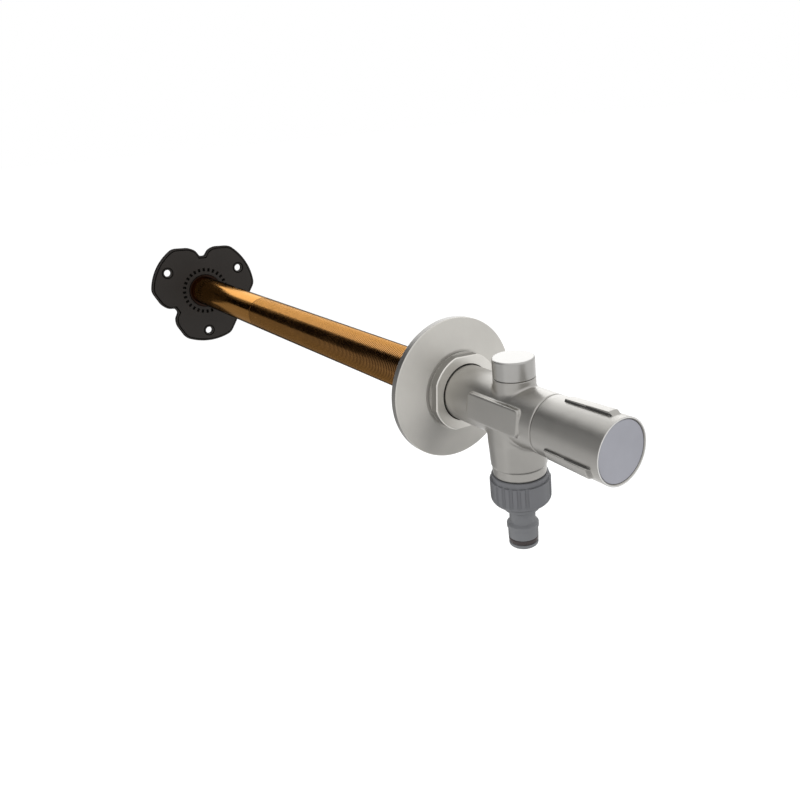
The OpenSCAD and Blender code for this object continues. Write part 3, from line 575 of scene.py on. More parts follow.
def plate_field(x, y, z):
    """Side plate, square to a radius that is turned up from the side."""
    out = -x * PLATE_COS + z * PLATE_SIN
    over = x * PLATE_SIN + z * PLATE_COS
    a = np.abs(y - PLATE_Y) - PLATE_HALF_L + PLATE_CORNER
    b = np.abs(over) - PLATE_HALF_W + PLATE_CORNER
    edge = np.hypot(np.maximum(a, 0.0), np.maximum(b, 0.0))
    edge += np.minimum(np.maximum(a, b), 0.0) - PLATE_CORNER
    face = slab(out, PLATE_FOOT, PLATE_REACH)
    bevel = (edge + out - PLATE_REACH + PLATE_BEVEL) / math.sqrt(2)
    return smax(np.maximum(edge, face), bevel, PLATE_EDGE)


def body_field(x, y, z):
    """Barrel, outlet branch, vent boss and side plate in one, with their bores."""
    barrel = smax(rod(x, z, BODY_R), slab(y, BODY_FRONT, NECK_END), BODY_EDGE)
    v = y - BRANCH_Y
    taper = BODY_R - (BODY_R - BRANCH_FOOT_R) * np.clip((TAPER_START - z) / TAPER_L, 0.0, 1.0)
    branch = smax(np.hypot(x, v) - taper, slab(z, BRANCH_LOW, 0.0), BRANCH_EDGE)
    boss = smax(rod(x, v, BOSS_R), slab(z, 0.0, BOSS_TOP), BOSS_EDGE)
    f = smin(barrel, branch, BRANCH_FILLET)
    f = smin(f, boss, BOSS_FILLET)
    f = smin(f, plate_field(x, y, z), PLATE_FILLET)
    shoulder = smax(rod(x, v, SHOULDER_R), slab(z, SHOULDER_LOW, SHOULDER_TOP), SHOULDER_EDGE)
    f = smin(f, shoulder, STEP_FILLET)
    root = smax(rod(x, v, ROOT_R), slab(z, OUTLET_END, ROOT_TOP), ROOT_EDGE)
    f = smin(f, root, STEP_FILLET)
    for r, low, high in BARREL_BORES:
        f = smax(f, -np.maximum(rod(x, z, r), slab(y, low, high)), BORE_EDGE)
    for r, low, high in BRANCH_BORES:
        f = smax(f, -np.maximum(rod(x, v, r), slab(z, low, high)), BORE_EDGE)
    return f


dress(netted("tap_body", body_field, BODY_LOW, BODY_HIGH, BODY_STEP, "tap",
             ["valve_body"]), NICKEL, False)


# Threads
# Places in one turn of the thread and how high its form stands there, from root to crest
THREAD_FORM = [(0.0, 1.0), (0.3, 1.0), (0.36, 0.85), (0.44, 0.1), (0.5, 0.0), (0.56, 0.1),
               (0.64, 0.85), (0.7, 1.0)]
THREAD_FADE, THREAD_CREASE, THREAD_SIDES = 1.5, 30.0, 64


def thread_r(h, level, crest, root, start, end, runs_out):
    """Radius of the thread at place h, where its form stands at `level`."""
    if not runs_out:
        keep = min(1.0, max(0.0, min(h - start, end - h) / THREAD_FADE))
        return root + (crest - root) * (level * keep)
    far = min(1.0, max(0.0, (end - h) / (2 * THREAD_PITCH)))
    r = root + (crest - root) * (level * far + (1 - far))
    if h - start < THREAD_FADE:
        r = min(r, root + (crest - root) * (h - start) / THREAD_FADE)
    return r


def thread(name, crest, root, start, end, inner, axis, body, stands_for=(),
           runs_out=False):
    """A helical thread from start to end, closed by a bore of radius inner.

    With runs_out, its valleys fade to the crest's radius at the end."""
    turns = int(math.ceil((end - start) / THREAD_PITCH)) + 1
    rows = [(t + p, level) for t in range(-1, turns) for p, level in THREAD_FORM]
    verts, faces = [], []
    count, seg = len(rows), THREAD_SIDES
    turn = [2 * math.pi * i / seg for i in range(seg + 1)]
    circle = [(math.cos(a), math.sin(a)) for a in turn]
    for i, (c, s) in enumerate(circle):
        for t, level in rows:
            h = min(max(start + (t + i / seg) * THREAD_PITCH, start), end)
            r = thread_r(h, level, crest, root, start, end, runs_out)
            verts.append(on_axis(axis, r, c, s, h))
    for i in range(seg):
        for k in range(count - 1):
            a, b = i * count + k, (i + 1) * count + k
            faces.append((a, a + 1, b + 1, b))
    base = len(verts)
    for c, s in circle:
        verts += [on_axis(axis, inner, c, s, h) for h in (start, end)]
    for i in range(seg):
        a, b = i * count, (i + 1) * count
        p, q = base + 2 * i, base + 2 * (i + 1)
        faces.append((a, b, q, p))
        faces.append((a + count - 1, p + 1, q + 1, b + count - 1))
        faces.append((p, q, q + 1, p + 1))
    return new_mesh(name, verts, faces, body, stands_for, crease=THREAD_CREASE)


# A face whose middle is nearer the axis than this lies in a valley of the tube's thread, and is
# given painted shade
VALLEY_R = 13.16
# The plain part of the tube starts this much inside the end of the threaded part
TUBE_LAP = 0.1
TUBE_START, TUBE_PLAIN, TUBE_END = -23.1, 261.0, 409
TUBE_ROOT_R, OUTLET_ROOT_R, OUTLET_BORE_R, OUTLET_TOP = 12.4, 12.3, 12.0, -34.4

tube = thread("tube_threaded", TUBE_R, TUBE_ROOT_R, TUBE_START, TUBE_PLAIN, TUBE_BORE_R, "y",
              "tap", stands_for=["wall_tube"], runs_out=True)
dress(tube, BRONZE, False)
tube.data.materials.append(TUBE_VALLEY_SHADE)
for face in tube.data.polygons:
    if math.hypot(face.center.x, face.center.z) < VALLEY_R * MM:
        face.material_index = 1
PLAIN_PATH = [(TUBE_BORE_R, TUBE_PLAIN - TUBE_LAP, 0), (TUBE_R, TUBE_PLAIN - TUBE_LAP, 0),
              (TUBE_R, TUBE_END, 0.7), (TUBE_BORE_R, TUBE_END, 0.3)]
dress(turned("tube_plain", PLAIN_PATH, "y", "tap", seg=96), BRONZE)
dress(thread("outlet_thread", TUBE_R, OUTLET_ROOT_R, OUTLET_END, OUTLET_TOP, OUTLET_BORE_R, "z",
             "tap"), NICKEL, False)


# Rosette and nut
# A face is a wall where its normal leans less than this along the tube
WALL_SLOPE = 0.2


def paint_wall_shade(obj, mat):
    """Give the faces that look away from the tube's axis a material of their own, a darker one
    for painted shade.
    """
    obj.data.materials.append(mat)
    for face in obj.data.polygons:
        if abs(face.normal.y) < WALL_SLOPE:
            face.material_index = 1


ROSETTE_R, ROSETTE_RIM, ROSETTE_BORE_R = 40, -4.1, 16.52
ROSETTE_FLAT_R, ROSETTE_FRONT = 23.0, -8.1
HOLLOW_R, HOLLOW_RIM, HOLLOW_FLAT_R, HOLLOW_FRONT = 37.4, -2.5, 21.5, -5.9
ROSETTE_PATH = [
    (ROSETTE_R, 0, 0.3), (ROSETTE_R, ROSETTE_RIM, 0.75), (ROSETTE_FLAT_R, ROSETTE_FRONT, 2.0),
    (ROSETTE_BORE_R, ROSETTE_FRONT, 0.2), (ROSETTE_BORE_R, HOLLOW_FRONT, 0),
    (HOLLOW_FLAT_R, HOLLOW_FRONT, 1.0), (HOLLOW_R, HOLLOW_RIM, 0.5), (HOLLOW_R, 0, 0)]
# The rosette's faces are a lighter nickel, painted light, and its walls a darker one, painted
# shade.
rosette = dress(turned("rosette_plate", ROSETTE_PATH, "y", "tap", ["rosette"],
                       seg=192), NICKEL_ROSETTE_LIT)
paint_wall_shade(rosette, NICKEL_WALL_SHADE)

# Its flats lie NUT_FLAT from the axis, in front of NUT_FOOT and outside NUT_HOLLOW_R
NUT_FLATS, NUT_TURN, NUT_FLAT, NUT_R, NUT_HOLLOW_R = 4, -6.0, 20.55, 21.8, 17.5
NUT_BACK, NUT_FOOT, NUT_FRONT = -8.15, -9.6, -14.5
NUT_BORE_R, NUT_FLOOR = 16.1, -10.9
SPIGOT_R, SPIGOT_END = 16.12, -2
# How much of the roundness of the nut's edge its flats keep
FLAT_EDGE = 0.8
NUT_STEP, NUT_CREASE = 2.0, 30.0
NUT_PATH = [
    (NUT_R, NUT_BACK, 0), (NUT_R, NUT_FOOT + 0.01, 0.3), (NUT_R - 0.02, NUT_FOOT - 0.02, 0),
    (NUT_R, NUT_FRONT, 0.8), (NUT_BORE_R, NUT_FRONT, 0.1), (NUT_BORE_R, NUT_FLOOR, 0),
    (TUBE_FIT_R, NUT_FLOOR, 0), (TUBE_FIT_R, SPIGOT_END, 0), (SPIGOT_R, SPIGOT_END, 0),
    (SPIGOT_R, NUT_BACK, 0)]


def nut_shape(r, h, a):
    """Cut the nut's flats."""
    if h > NUT_FOOT or r < NUT_HOLLOW_R:
        return r
    d = math.radians(off_spoke(a, NUT_FLATS, NUT_TURN))
    return min(r, NUT_FLAT / math.cos(d) - (NUT_R - r) * FLAT_EDGE)


flat_half = math.degrees(math.acos(NUT_FLAT / NUT_R))
nut_marks = [NUT_TURN + 360 * k / NUT_FLATS + d for k in range(NUT_FLATS)
             for d in (-flat_half, 0, flat_half)]
# The nut's faces are a lighter nickel, painted light, and its side walls a darker one, painted
# shade.
nut = dress(turned("rosette_nut_turned", NUT_PATH, "y", "tap", ["rosette_nut"],
                   shape=nut_shape, angles=angle_list(nut_marks, NUT_STEP),
                   crease=NUT_CREASE), NICKEL_NUT_LIT)
paint_wall_shade(nut, NICKEL_WALL_SHADE)

NECK_RING_IN, NECK_RING_OUT, NECK_RING_FRONT, NECK_RING_BACK = 15.55, 16.05, -14.35, -11.8
NECK_RING_PATH = [(NECK_RING_IN, NECK_RING_FRONT, 0), (NECK_RING_OUT, NECK_RING_FRONT, 0.1),
                  (NECK_RING_OUT, NECK_RING_BACK, 0.1), (NECK_RING_IN, NECK_RING_BACK, 0)]
dress(turned("neck_ring", NECK_RING_PATH, "y", "tap", ["neck_seal"]), RUBBER)


# Vent cap
CAP_R, CAP_LOW, CAP_TOP, CAP_BORE_R, CAP_ROOF = 10.9, 19.35, 29.3, 9.9, 27.0
CAP_PATH = [(0, CAP_TOP, 0), (CAP_R, CAP_TOP, 1.0), (CAP_R, CAP_LOW, 0.25),
            (CAP_BORE_R, CAP_LOW, 0.2), (CAP_BORE_R, CAP_ROOF, 0.3), (0, CAP_ROOF, 0)]
# The cap is a lighter copy of the nickel: painted light.
dress(turned("vent_cap_turned", CAP_PATH, "z", "tap", ["vent_cap"]), NICKEL_CAP_LIT)


# Knob
RIBS, RIB_TURN, RIB_W = 3, 84.45, 6.2
RIB_START, RIB_END = -91.5, -119.6
# Radius of the sleeve at its back and of the ribs at RIB_START, and what each gains forward
SLEEVE_R, SLEEVE_GAIN = 15.5, 0.7
RIB_R, RIB_GAIN = 16.9, 0.9
# Points nearer the axis than this are the sleeve's inside, where no rib shows
SLEEVE_INSIDE_R = 15.3
# A rib rises over RISE_L from RIB_LEAD behind its start, and falls over FALL_L to RIB_TAIL
# past its end. Its sides slope over SIDE_W.
RIB_LEAD, RISE_L, RIB_TAIL, FALL_L, SIDE_W = 0.5, 0.7, 1.2, 3.4, 0.5
KNOB_CREASE = 35.0


def sleeve_r(h):
    """Radius of the knob's sleeve at place h."""
    return SLEEVE_R + SLEEVE_GAIN * (KNOB_BACK - h) / (KNOB_BACK - KNOB_FRONT)


def step01(t):
    """A smooth step from 0 to 1."""
    t = min(1.0, max(0.0, t))
    return t * t * (3 - 2 * t)


def knob_shape(r, h, a):
    """Raise the ribs."""
    if r < SLEEVE_INSIDE_R:
        return r
    top = RIB_R + RIB_GAIN * (RIB_START - h) / (RIB_START - RIB_END)
    along = min(step01((RIB_START + RIB_LEAD - h) / RISE_L),
                step01((h - RIB_END + RIB_TAIL) / FALL_L))
    u = abs(top * math.sin(math.radians(off_spoke(a, RIBS, RIB_TURN))))
    across = step01((RIB_W / 2 + SIDE_W / 2 - u) / SIDE_W)
    return r + (top - sleeve_r(h)) * along * across


# Places of the points along the sleeve, close together where the ribs rise and fall
RISE_ROWS, RISE_STEP, FALL_ROWS, FALL_STEP, FALL_START = 9, 0.1, 14, 0.3, RIB_END + 2.7
TOP_PARTS, TOP_START, TOP_END = 8, RIB_START - 1.0, RIB_END + 3.0
sleeve_rows = [KNOB_BACK - 3.0, RIB_START + 0.6]
sleeve_rows += [RIB_START + RIB_LEAD - RISE_STEP * k for k in range(RISE_ROWS)]
sleeve_rows += [TOP_START - (TOP_START - TOP_END) * k / TOP_PARTS for k in range(TOP_PARTS + 1)]
sleeve_rows += [FALL_START - FALL_STEP * k for k in range(FALL_ROWS)]
sleeve_rows += [KNOB_FRONT + 2.2]
# Angles of the points round it, close together at the ribs' sides
RIB_MIDDLE_R, SIDE_FROM, SIDE_TO, SIDE_MARKS = 17.3, RIB_W / 2 - 0.6, RIB_W / 2 + 0.5, 12
rib_marks = []
for u in np.linspace(SIDE_FROM, SIDE_TO, SIDE_MARKS):
    d = math.degrees(math.asin(u / RIB_MIDDLE_R))
    rib_marks += [RIB_TURN + 360 * k / RIBS + turn for k in range(RIBS) for turn in (d, -d)]

RIM_IN_R, RIM_BEVEL = 15.5, 0.45
SEAT_R, SEAT = 15.05, -121.2
SCREW_HOLE_R, LINING_R, LINING_END = 4.6, 13.9, -118.0
KNOB_PATH = [(SLEEVE_R, KNOB_BACK, 0.35)] + [(sleeve_r(h), h, 0) for h in sleeve_rows] + [
    (SLEEVE_R + SLEEVE_GAIN, KNOB_FRONT, 0.2), (RIM_IN_R, KNOB_FRONT, 0.1),
    (SEAT_R, KNOB_FRONT + RIM_BEVEL, 0), (SEAT_R, SEAT, 0), (SCREW_HOLE_R, SEAT, 0),
    (SCREW_HOLE_R, LINING_END, 0), (LINING_R, LINING_END, 0), (LINING_R, KNOB_BACK, 0.2)]
knob = dress(turned("knob_sleeve_ribbed", KNOB_PATH, "y", "handle",
                    ["knob_sleeve"], shape=knob_shape, angles=angle_list(rib_marks),
                    crease=KNOB_CREASE), NICKEL)
# A face is a rib's side, which is given painted shade, where it is this low over the sleeve,
# looks this little along the knob and turns this far from the axis
SIDE_RISE, SIDE_ALONG, SIDE_OUT = 0.9, 0.3, 0.75
# It is the front rim, which is given a painted highlight, where it looks forward and lies this
# near the front
RIM_FORWARD, RIM_DEPTH = -0.8, 0.2
knob.data.materials.append(NICKEL_RIB_SHADE)
knob.data.materials.append(NICKEL_RIM_HIGHLIGHT)
for face in knob.data.polygons:
    out = Vector((face.center.x, 0.0, face.center.z))
    rise = out.length / MM - sleeve_r(face.center.y / MM)
    turned_away = face.normal.dot(out.normalized()) < SIDE_OUT
    if 0.0 < rise < SIDE_RISE and abs(face.normal.y) < SIDE_ALONG and turned_away:
        face.material_index = 1
    if face.normal.y < RIM_FORWARD and face.center.y < (KNOB_FRONT + RIM_DEPTH) * MM:
        face.material_index = 2

DISC_R, DISC_FRONT, DISC_BACK, PLUG_R, PLUG_END = 14.9, -123.95, -121.3, 4.5, -118.9
DISC_PATH = [(0, DISC_FRONT, 0), (DISC_R, DISC_FRONT, 0.35), (DISC_R, DISC_BACK, 0),
             (PLUG_R, DISC_BACK, 0), (PLUG_R, PLUG_END, 0.3), (0, PLUG_END, 0)]
dress(turned("knob_disc_turned", DISC_PATH, "y", "handle", ["knob_disc"],
             seg=160), DISC)


# Hose union
GRIP_R, LIP_R, HOLE_R, UNION_BORE_R = 16.1, 15.1, 9.9, 13.3
UNION_TOP, LIP_LOW, ROUND_TOP, UNION_FLOOR, UNION_RIM = -34.1, -36.9, -47.0, -49.8, -51.8
# Two rings of points on the step under the lip
STEP_RING_1, STEP_RING_2 = 15.35, 15.45
# Three groups of five grooves, in degrees
GROOVE_AT, GROOVE_R = 16.45, 1.1
GROOVE_TURNS = [210 + 120 * g + 15 * k for g in range(3) for k in range(-2, 3)]
UNION_CREASE, ROUND_POINTS = 35.0, 15


def union_shape(r, h, a):
    """Cut the grip's grooves."""
    for turn in GROOVE_TURNS:
        d = a - math.radians(turn)
        s = GROOVE_AT * math.sin(d)
        if abs(s) < GROOVE_R and math.cos(d) > 0:
            r = min(r, GROOVE_AT * math.cos(d) - math.sqrt(GROOVE_R ** 2 - s * s))
    return r


groove_edges = [math.degrees(math.asin(GROOVE_R * k / 5 / GROOVE_AT)) for k in range(-5, 6)]
groove_marks = [turn + edge for turn in GROOVE_TURNS for edge in groove_edges]
quarter = [math.pi / 2 * k / ROUND_POINTS for k in range(ROUND_POINTS + 1)]
union_round = [(HOLE_R + (GRIP_R - HOLE_R) * math.cos(t),
                ROUND_TOP - (ROUND_TOP - UNION_RIM) * math.sin(t), 0) for t in quarter]
UNION_PATH = [
    (UNION_BORE_R, UNION_TOP, 0.3), (LIP_R, UNION_TOP, 0.5), (LIP_R, LIP_LOW, 0.1),
    (STEP_RING_1, LIP_LOW, 0), (STEP_RING_2, LIP_LOW, 0), (GRIP_R, LIP_LOW, 0.5),
    (GRIP_R, LIP_LOW - 2.0, 0)] + union_round + [
    (HOLE_R, UNION_FLOOR, 0), (UNION_BORE_R, UNION_FLOOR, 0)]
dress(turned("union_nut_grooved", UNION_PATH, "z", "union", ["union_nut"],
             shape=union_shape, angles=angle_list(groove_marks), crease=UNION_CREASE), DARK)

# Hose nipple, from its collar in the union nut down to its end
NIPPLE_BORE_R, NIPPLE_TOP, NIPPLE_END, NIPPLE_CREASE = 4.9, -46.95, -77.0, 35.0
BORE_TOP = -51.2
THROAT_R, COLLAR_R, COLLAR_LOW, SHANK_R, SHANK_LOW = 8.1, 12.8, -49.7, 9.75, -54.8
WAIST_R, FLARE_W, FLARE_TOP, WAIST_TOP, WAIST_LOW = 7.0, 0.8, -56.0, -59.0, -62.5
FLARE_TURN, FLARE_POINTS = 12, 8
LAND_R, LAND_TOP = 8.1, -66.4
STEP_R, STEP_TOP, STEP_LOW = 8.6, -64.1, -66.2
GLAND_R, GLAND_TOP, GLAND_LOW, TIP_R = 6.4, -71.8, -74.8, 7.95
flare = []
for k in range(FLARE_POINTS):
    a = math.radians(FLARE_TURN * k)
    flare.append((WAIST_R + FLARE_W * (1 - math.sin(a)),
                  FLARE_TOP + (WAIST_TOP - FLARE_TOP) * (1 - math.cos(a)), 0))
NIPPLE_PATH = [
    (THROAT_R, NIPPLE_TOP, 0), (COLLAR_R, NIPPLE_TOP, 0.3), (COLLAR_R, COLLAR_LOW, 0.2),
    (SHANK_R, COLLAR_LOW, 0), (SHANK_R, SHANK_LOW, 0.3)] + flare + [
    (WAIST_R, WAIST_TOP, 0), (WAIST_R, WAIST_LOW, 0.8), (STEP_R, STEP_TOP, 0.4),
    (STEP_R, STEP_LOW, 0.3), (LAND_R, LAND_TOP, 0), (LAND_R, GLAND_TOP, 0.15),
    (GLAND_R, GLAND_TOP, 0), (GLAND_R, GLAND_LOW, 0), (TIP_R, GLAND_LOW, 0.15),
    (TIP_R, NIPPLE_END, 0.9), (NIPPLE_BORE_R, NIPPLE_END, 0.4), (NIPPLE_BORE_R, BORE_TOP, 0)]
dress(turned("hose_nipple_turned", NIPPLE_PATH, "z", "nipple", ["hose_nipple"],
             crease=NIPPLE_CREASE), GREY)

O_RING_IN, O_RING_OUT, O_RING_TOP, O_RING_LOW = 6.45, 8.05, -71.9, -74.7
O_RING_PATH = [(O_RING_IN, O_RING_TOP, 0.3), (O_RING_OUT, O_RING_TOP, 0.9),
               (O_RING_OUT, O_RING_LOW, 0.9), (O_RING_IN, O_RING_LOW, 0.3)]
dress(turned("nipple_ring", O_RING_PATH, "z", "nipple", ["nipple_o_ring"]), BROWN)


# Wall flange
# The notch between two lobes: distance from its middle line and reach from the axis
NOTCH = [(0, 33.6), (1.4, 33.6), (2.38, 33.94), (3.29, 34.94), (4.55, 37.04), (6.16, 38.98),
         (8.54, 40.4), (10.2, 41.08), (12.04, 41.66), (14, 42.0), (60, 42.0)]
NOTCH_HALF_W, NOTCH_STEP, NOTCH_SMOOTH = 30, 0.1, 7
LOBES, LOBE_R, LOBE_EDGE = 3, 50.0, 2.0
FLANGE_TURN = math.radians(6.0)
# The lobes' plate, and the face and hub that are raised on it
PLATE_FACE, PLATE_BACK, PLATE_ROUND = 400.8, 405.0, 0.9
RAISED_IN, RAISED_BACK, HUB_R, HUB_EDGE, HUB_BORE_R = 2.2, 404.0, 18.6, 0.4, 15.62
FINE_EDGE, LINE_EDGE = 0.3, 0.2
# Screw holes with their sinks behind, and the thin lines round them and round the raised face
SCREW_AT, SCREW_R, SCREW_EDGE, SINK_R, SINK_START = 39.5, 3.25, 0.4, 4.75, 403.8
RING_R, RING_HALF, FOOT_IN, FOOT_HALF, LINE_DEEP = 4.9, 0.4, 1.95, 0.32, 401.5
# Locking pockets round the hub
POCKETS, POCKET_AT, POCKET_HALF_L, POCKET_HALF_W, POCKET_DEEP = 28, 20.3, 1.6, 1.1, 401.6
FLANGE_LOW, FLANGE_HIGH, FLANGE_STEP = (-51, 399.2, -51.5), (51, 405.8, 49), 0.5

dense = np.arange(0, NOTCH_HALF_W, NOTCH_STEP)
table = np.interp(dense, *zip(*NOTCH))
wide = np.concatenate([table[NOTCH_SMOOTH:0:-1], table, [NOTCH[-1][1]] * NOTCH_SMOOTH])
window = 2 * NOTCH_SMOOTH + 1
table = np.convolve(wide, np.ones(window) / window, "valid")[:len(dense)]
slope = np.gradient(table, NOTCH_STEP)


def folded(turn, count, at=0.0):
    """Angle from the nearest of `count` even spokes, one of which is at angle `at`."""
    step = 2 * math.pi / count
    return np.mod(turn - at + step / 2, step) - step / 2


def flange_field(x, y, z):
    """Lobed plate with its raised face and hub, screw holes, fine lines and pockets."""
    u = x * math.cos(FLANGE_TURN) - z * math.sin(FLANGE_TURN)
    w = x * math.sin(FLANGE_TURN) + z * math.cos(FLANGE_TURN)
    turn, r = np.arctan2(w, u), np.hypot(u, w)
    a = folded(turn, LOBES, math.pi / 2)
    lat, out = np.abs(r * np.sin(a)), r * np.cos(a)
    reach = np.interp(lat, dense, table)
    lean = np.interp(lat, dense, slope)
    edge = smax(r - LOBE_R, (out - reach) / np.sqrt(1 + lean * lean), LOBE_EDGE)
    raised = slab(y, FLANGE_FACE, RAISED_BACK)
    f = smax(edge, slab(y, PLATE_FACE, PLATE_BACK), PLATE_ROUND)
    f = smin(f, smax(edge + RAISED_IN, raised, FINE_EDGE), FINE_EDGE)
    f = smin(f, smax(r - HUB_R, raised, HUB_EDGE), FINE_EDGE)
    b = folded(turn, LOBES, math.pi / 6)
    hole = np.hypot(r * np.cos(b) - SCREW_AT, r * np.sin(b))
    f = smax(f, -(hole - SCREW_R), SCREW_EDGE)
    f = smax(f, -np.maximum(hole - SINK_R, SINK_START - y), FINE_EDGE)
    ring = np.maximum(np.abs(hole - RING_R) - RING_HALF, y - LINE_DEEP)
    f = smax(f, -ring, FINE_EDGE)
    foot = np.maximum(np.abs(edge + FOOT_IN) - FOOT_HALF, y - LINE_DEEP)
    f = smax(f, -foot, LINE_EDGE)
    f = smax(f, -(r - HUB_BORE_R), HUB_EDGE)
    c = folded(turn, POCKETS)
    pocket = np.maximum(np.abs(r * np.cos(c) - POCKET_AT) - POCKET_HALF_L,
                        np.abs(r * np.sin(c)) - POCKET_HALF_W)
    return smax(f, -np.maximum(pocket, y - POCKET_DEEP), LINE_EDGE)


dress(netted("wall_flange_moulded", flange_field, FLANGE_LOW, FLANGE_HIGH, FLANGE_STEP, "tap",
             ["wall_flange"]), FLANGE, False)

CLAMP_R, CLAMP_RIM_R, CLAMP_FRONT, CLAMP_RIM, CLAMP_BACK = 15.47, 19.2, 398.8, 405.1, 408.1
CLAMP_PATH = [(TUBE_FIT_R, CLAMP_FRONT, 0.2), (CLAMP_R, CLAMP_FRONT, 0.6),
              (CLAMP_R, CLAMP_RIM, 0), (CLAMP_RIM_R, CLAMP_RIM, 0.2),
              (CLAMP_RIM_R, CLAMP_BACK, 0.6), (TUBE_FIT_R, CLAMP_BACK, 0.3)]
# The collar's near-black copper is painted shade.
dress(turned("flange_collar_turned", CLAMP_PATH, "y", "tap", ["flange_collar"]), COPPER_SHADED)


# Inlet
HEX_FLATS = 6
HEX_R, HEX_EDGE_R, HEX_FLAT, HEX_INSIDE_R, HEX_BEVEL = 16.8, 15.6, 15.0, 12, 1.2
HEX_FRONT, HEX_BACK = 409, 419
SLEEVE_FRONT, SLEEVE_OUT_R = 354, 11.25
SPOUT_R, SPOUT_END, SPOUT_BORE_R, SPOUT_FLOOR = 9.4, 436.9, 7.6, 414
SEAT_HOLE_R, SEAT_RIM_R, SEAT_FRONT, SEAT_FOOT = 5.0, 6.3, 399, 401
CHAMBER_R, CAGE_R, CAGE_END, PIPE_R, PIPE_END = 8.2, 8.6, 385, 9.05, 368.9
INLET_CREASE = 25.0
INLET_CREST, INLET_ROOT, INLET_CORE, INLET_START, INLET_END = 10.47, 9.6, 9.3, 421.0, 437.0
INLET_PATH = [
    (SLEEVE_OUT_R, SLEEVE_FRONT, 0.4), (SLEEVE_OUT_R, HEX_FRONT, 0), (HEX_EDGE_R, HEX_FRONT, 0),
    (HEX_R, HEX_FRONT + HEX_BEVEL, 0), (HEX_R, HEX_BACK - HEX_BEVEL, 0),
    (HEX_EDGE_R, HEX_BACK, 0), (SPOUT_R, HEX_BACK, 0), (SPOUT_R, SPOUT_END, 0.3),
    (SPOUT_BORE_R, SPOUT_END, 0), (SPOUT_BORE_R, SPOUT_FLOOR, 0), (SEAT_HOLE_R, SPOUT_FLOOR, 0),
    (SEAT_HOLE_R, SEAT_FRONT, 0.2), (SEAT_RIM_R, SEAT_FRONT, 0.2), (SEAT_RIM_R, SEAT_FOOT, 0),
    (CHAMBER_R, SEAT_FOOT, 0), (CHAMBER_R, CAGE_END, 0), (CAGE_R, CAGE_END, 0),
    (CAGE_R, PIPE_END, 0), (PIPE_R, PIPE_END, 0), (PIPE_R, SLEEVE_FRONT, 0)]


def hex_shape(r, h, a):
    """Cut the hexagon's flats."""
    if r < HEX_INSIDE_R:
        return r
    return min(r, HEX_FLAT / math.cos(math.radians(off_spoke(a, HEX_FLATS))))


dress(turned("inlet_hexagon", INLET_PATH, "y", "tap", ["inlet_body"],
             shape=hex_shape,
             angles=angle_list([180 * k / HEX_FLATS for k in range(2 * HEX_FLATS)]),
             crease=INLET_CREASE), BRASS)
dress(thread("inlet_thread", INLET_CREST, INLET_ROOT, INLET_START, INLET_END, INLET_CORE, "y",
             "tap"), BRASS, False)


# Check valve spring
SPRING_START, SPRING_END, SPRING_TURNS = 416.65, 431.25, 7
COIL_R, WIRE_R, WIRE_SIDES, COIL_STEPS = 3.55, 0.33, 10, 24


def spring(name, start, end, body, stands_for):
    """A coil of round wire along Y, closed at both ends."""
    steps = SPRING_TURNS * COIL_STEPS
    low, high = start + WIRE_R, end - WIRE_R
    verts, faces = [], []
    for k in range(steps + 1):
        a = 2 * math.pi * k / COIL_STEPS
        for n in range(WIRE_SIDES):
            b = 2 * math.pi * n / WIRE_SIDES
            r = COIL_R + WIRE_R * math.cos(b)
            h = low + (high - low) * k / steps + WIRE_R * math.sin(b)
            verts.append((r * math.cos(a), h, r * math.sin(a)))
    for k in range(steps):
        for n in range(WIRE_SIDES):
            p, q = k * WIRE_SIDES + n, k * WIRE_SIDES + (n + 1) % WIRE_SIDES
            faces.append((p, q, q + WIRE_SIDES, p + WIRE_SIDES))
    faces.append(tuple(range(WIRE_SIDES)))
    faces.append(tuple(steps * WIRE_SIDES + n for n in range(WIRE_SIDES)))
    return new_mesh(name, verts, faces, body, stands_for)


coil = spring("check_coil", SPRING_START, SPRING_END, "tap", ["check_spring"])
dress(coil, STEEL, False)
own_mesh(coil)


# Stage, in metres
def pale_light(nt, rest, shown):
    """A strength that is `shown` for camera, mirror and glass rays and `rest` for the others."""
    path = nt.nodes.new("ShaderNodeLightPath").outputs
    seen = maths(nt, "MAXIMUM", path["Is Camera Ray"], path["Is Glossy Ray"])
    seen = maths(nt, "MAXIMUM", seen, path["Is Transmission Ray"])
    return span(nt, seen, rest, shown, 0.0, 1.0)


def lit(nt, kind, grey):
    """A shader node of this kind with a grey or white colour."""
    node = nt.nodes.new(kind)
    node.inputs["Color"].default_value = (grey, grey, grey, 1)
    return node


FLOOR_HALF, FLOOR_Z = 40.0, -0.75
# Grey of the floor, its own light for mirrors and the camera, and the world's light
FLOOR_GREY, FLOOR_GLOW = 0.75, 0.4
WORLD_REST, WORLD_SHOWN = 0.85, 1.0

floor = bpy.data.meshes.new("floor")
floor.from_pydata([(x * FLOOR_HALF, y * FLOOR_HALF, 0)
                   for x, y in ((-1, -1), (1, -1), (1, 1), (-1, 1))], [], [(0, 1, 2, 3)])
floor_obj = added("floor", floor)
floor_obj.location = (0, 0, FLOOR_Z)
pale = bpy.data.materials.new("floor_pale")
nt, out = bare_nodes(pale)
both = nt.nodes.new("ShaderNodeAddShader")
glow = lit(nt, "ShaderNodeEmission", 1)
nt.links.new(pale_light(nt, 0.0, FLOOR_GLOW), glow.inputs["Strength"])
nt.links.new(lit(nt, "ShaderNodeBsdfDiffuse", FLOOR_GREY).outputs[0], both.inputs[0])
nt.links.new(glow.outputs[0], both.inputs[1])
nt.links.new(both.outputs[0], out.inputs["Surface"])
floor.materials.append(pale)

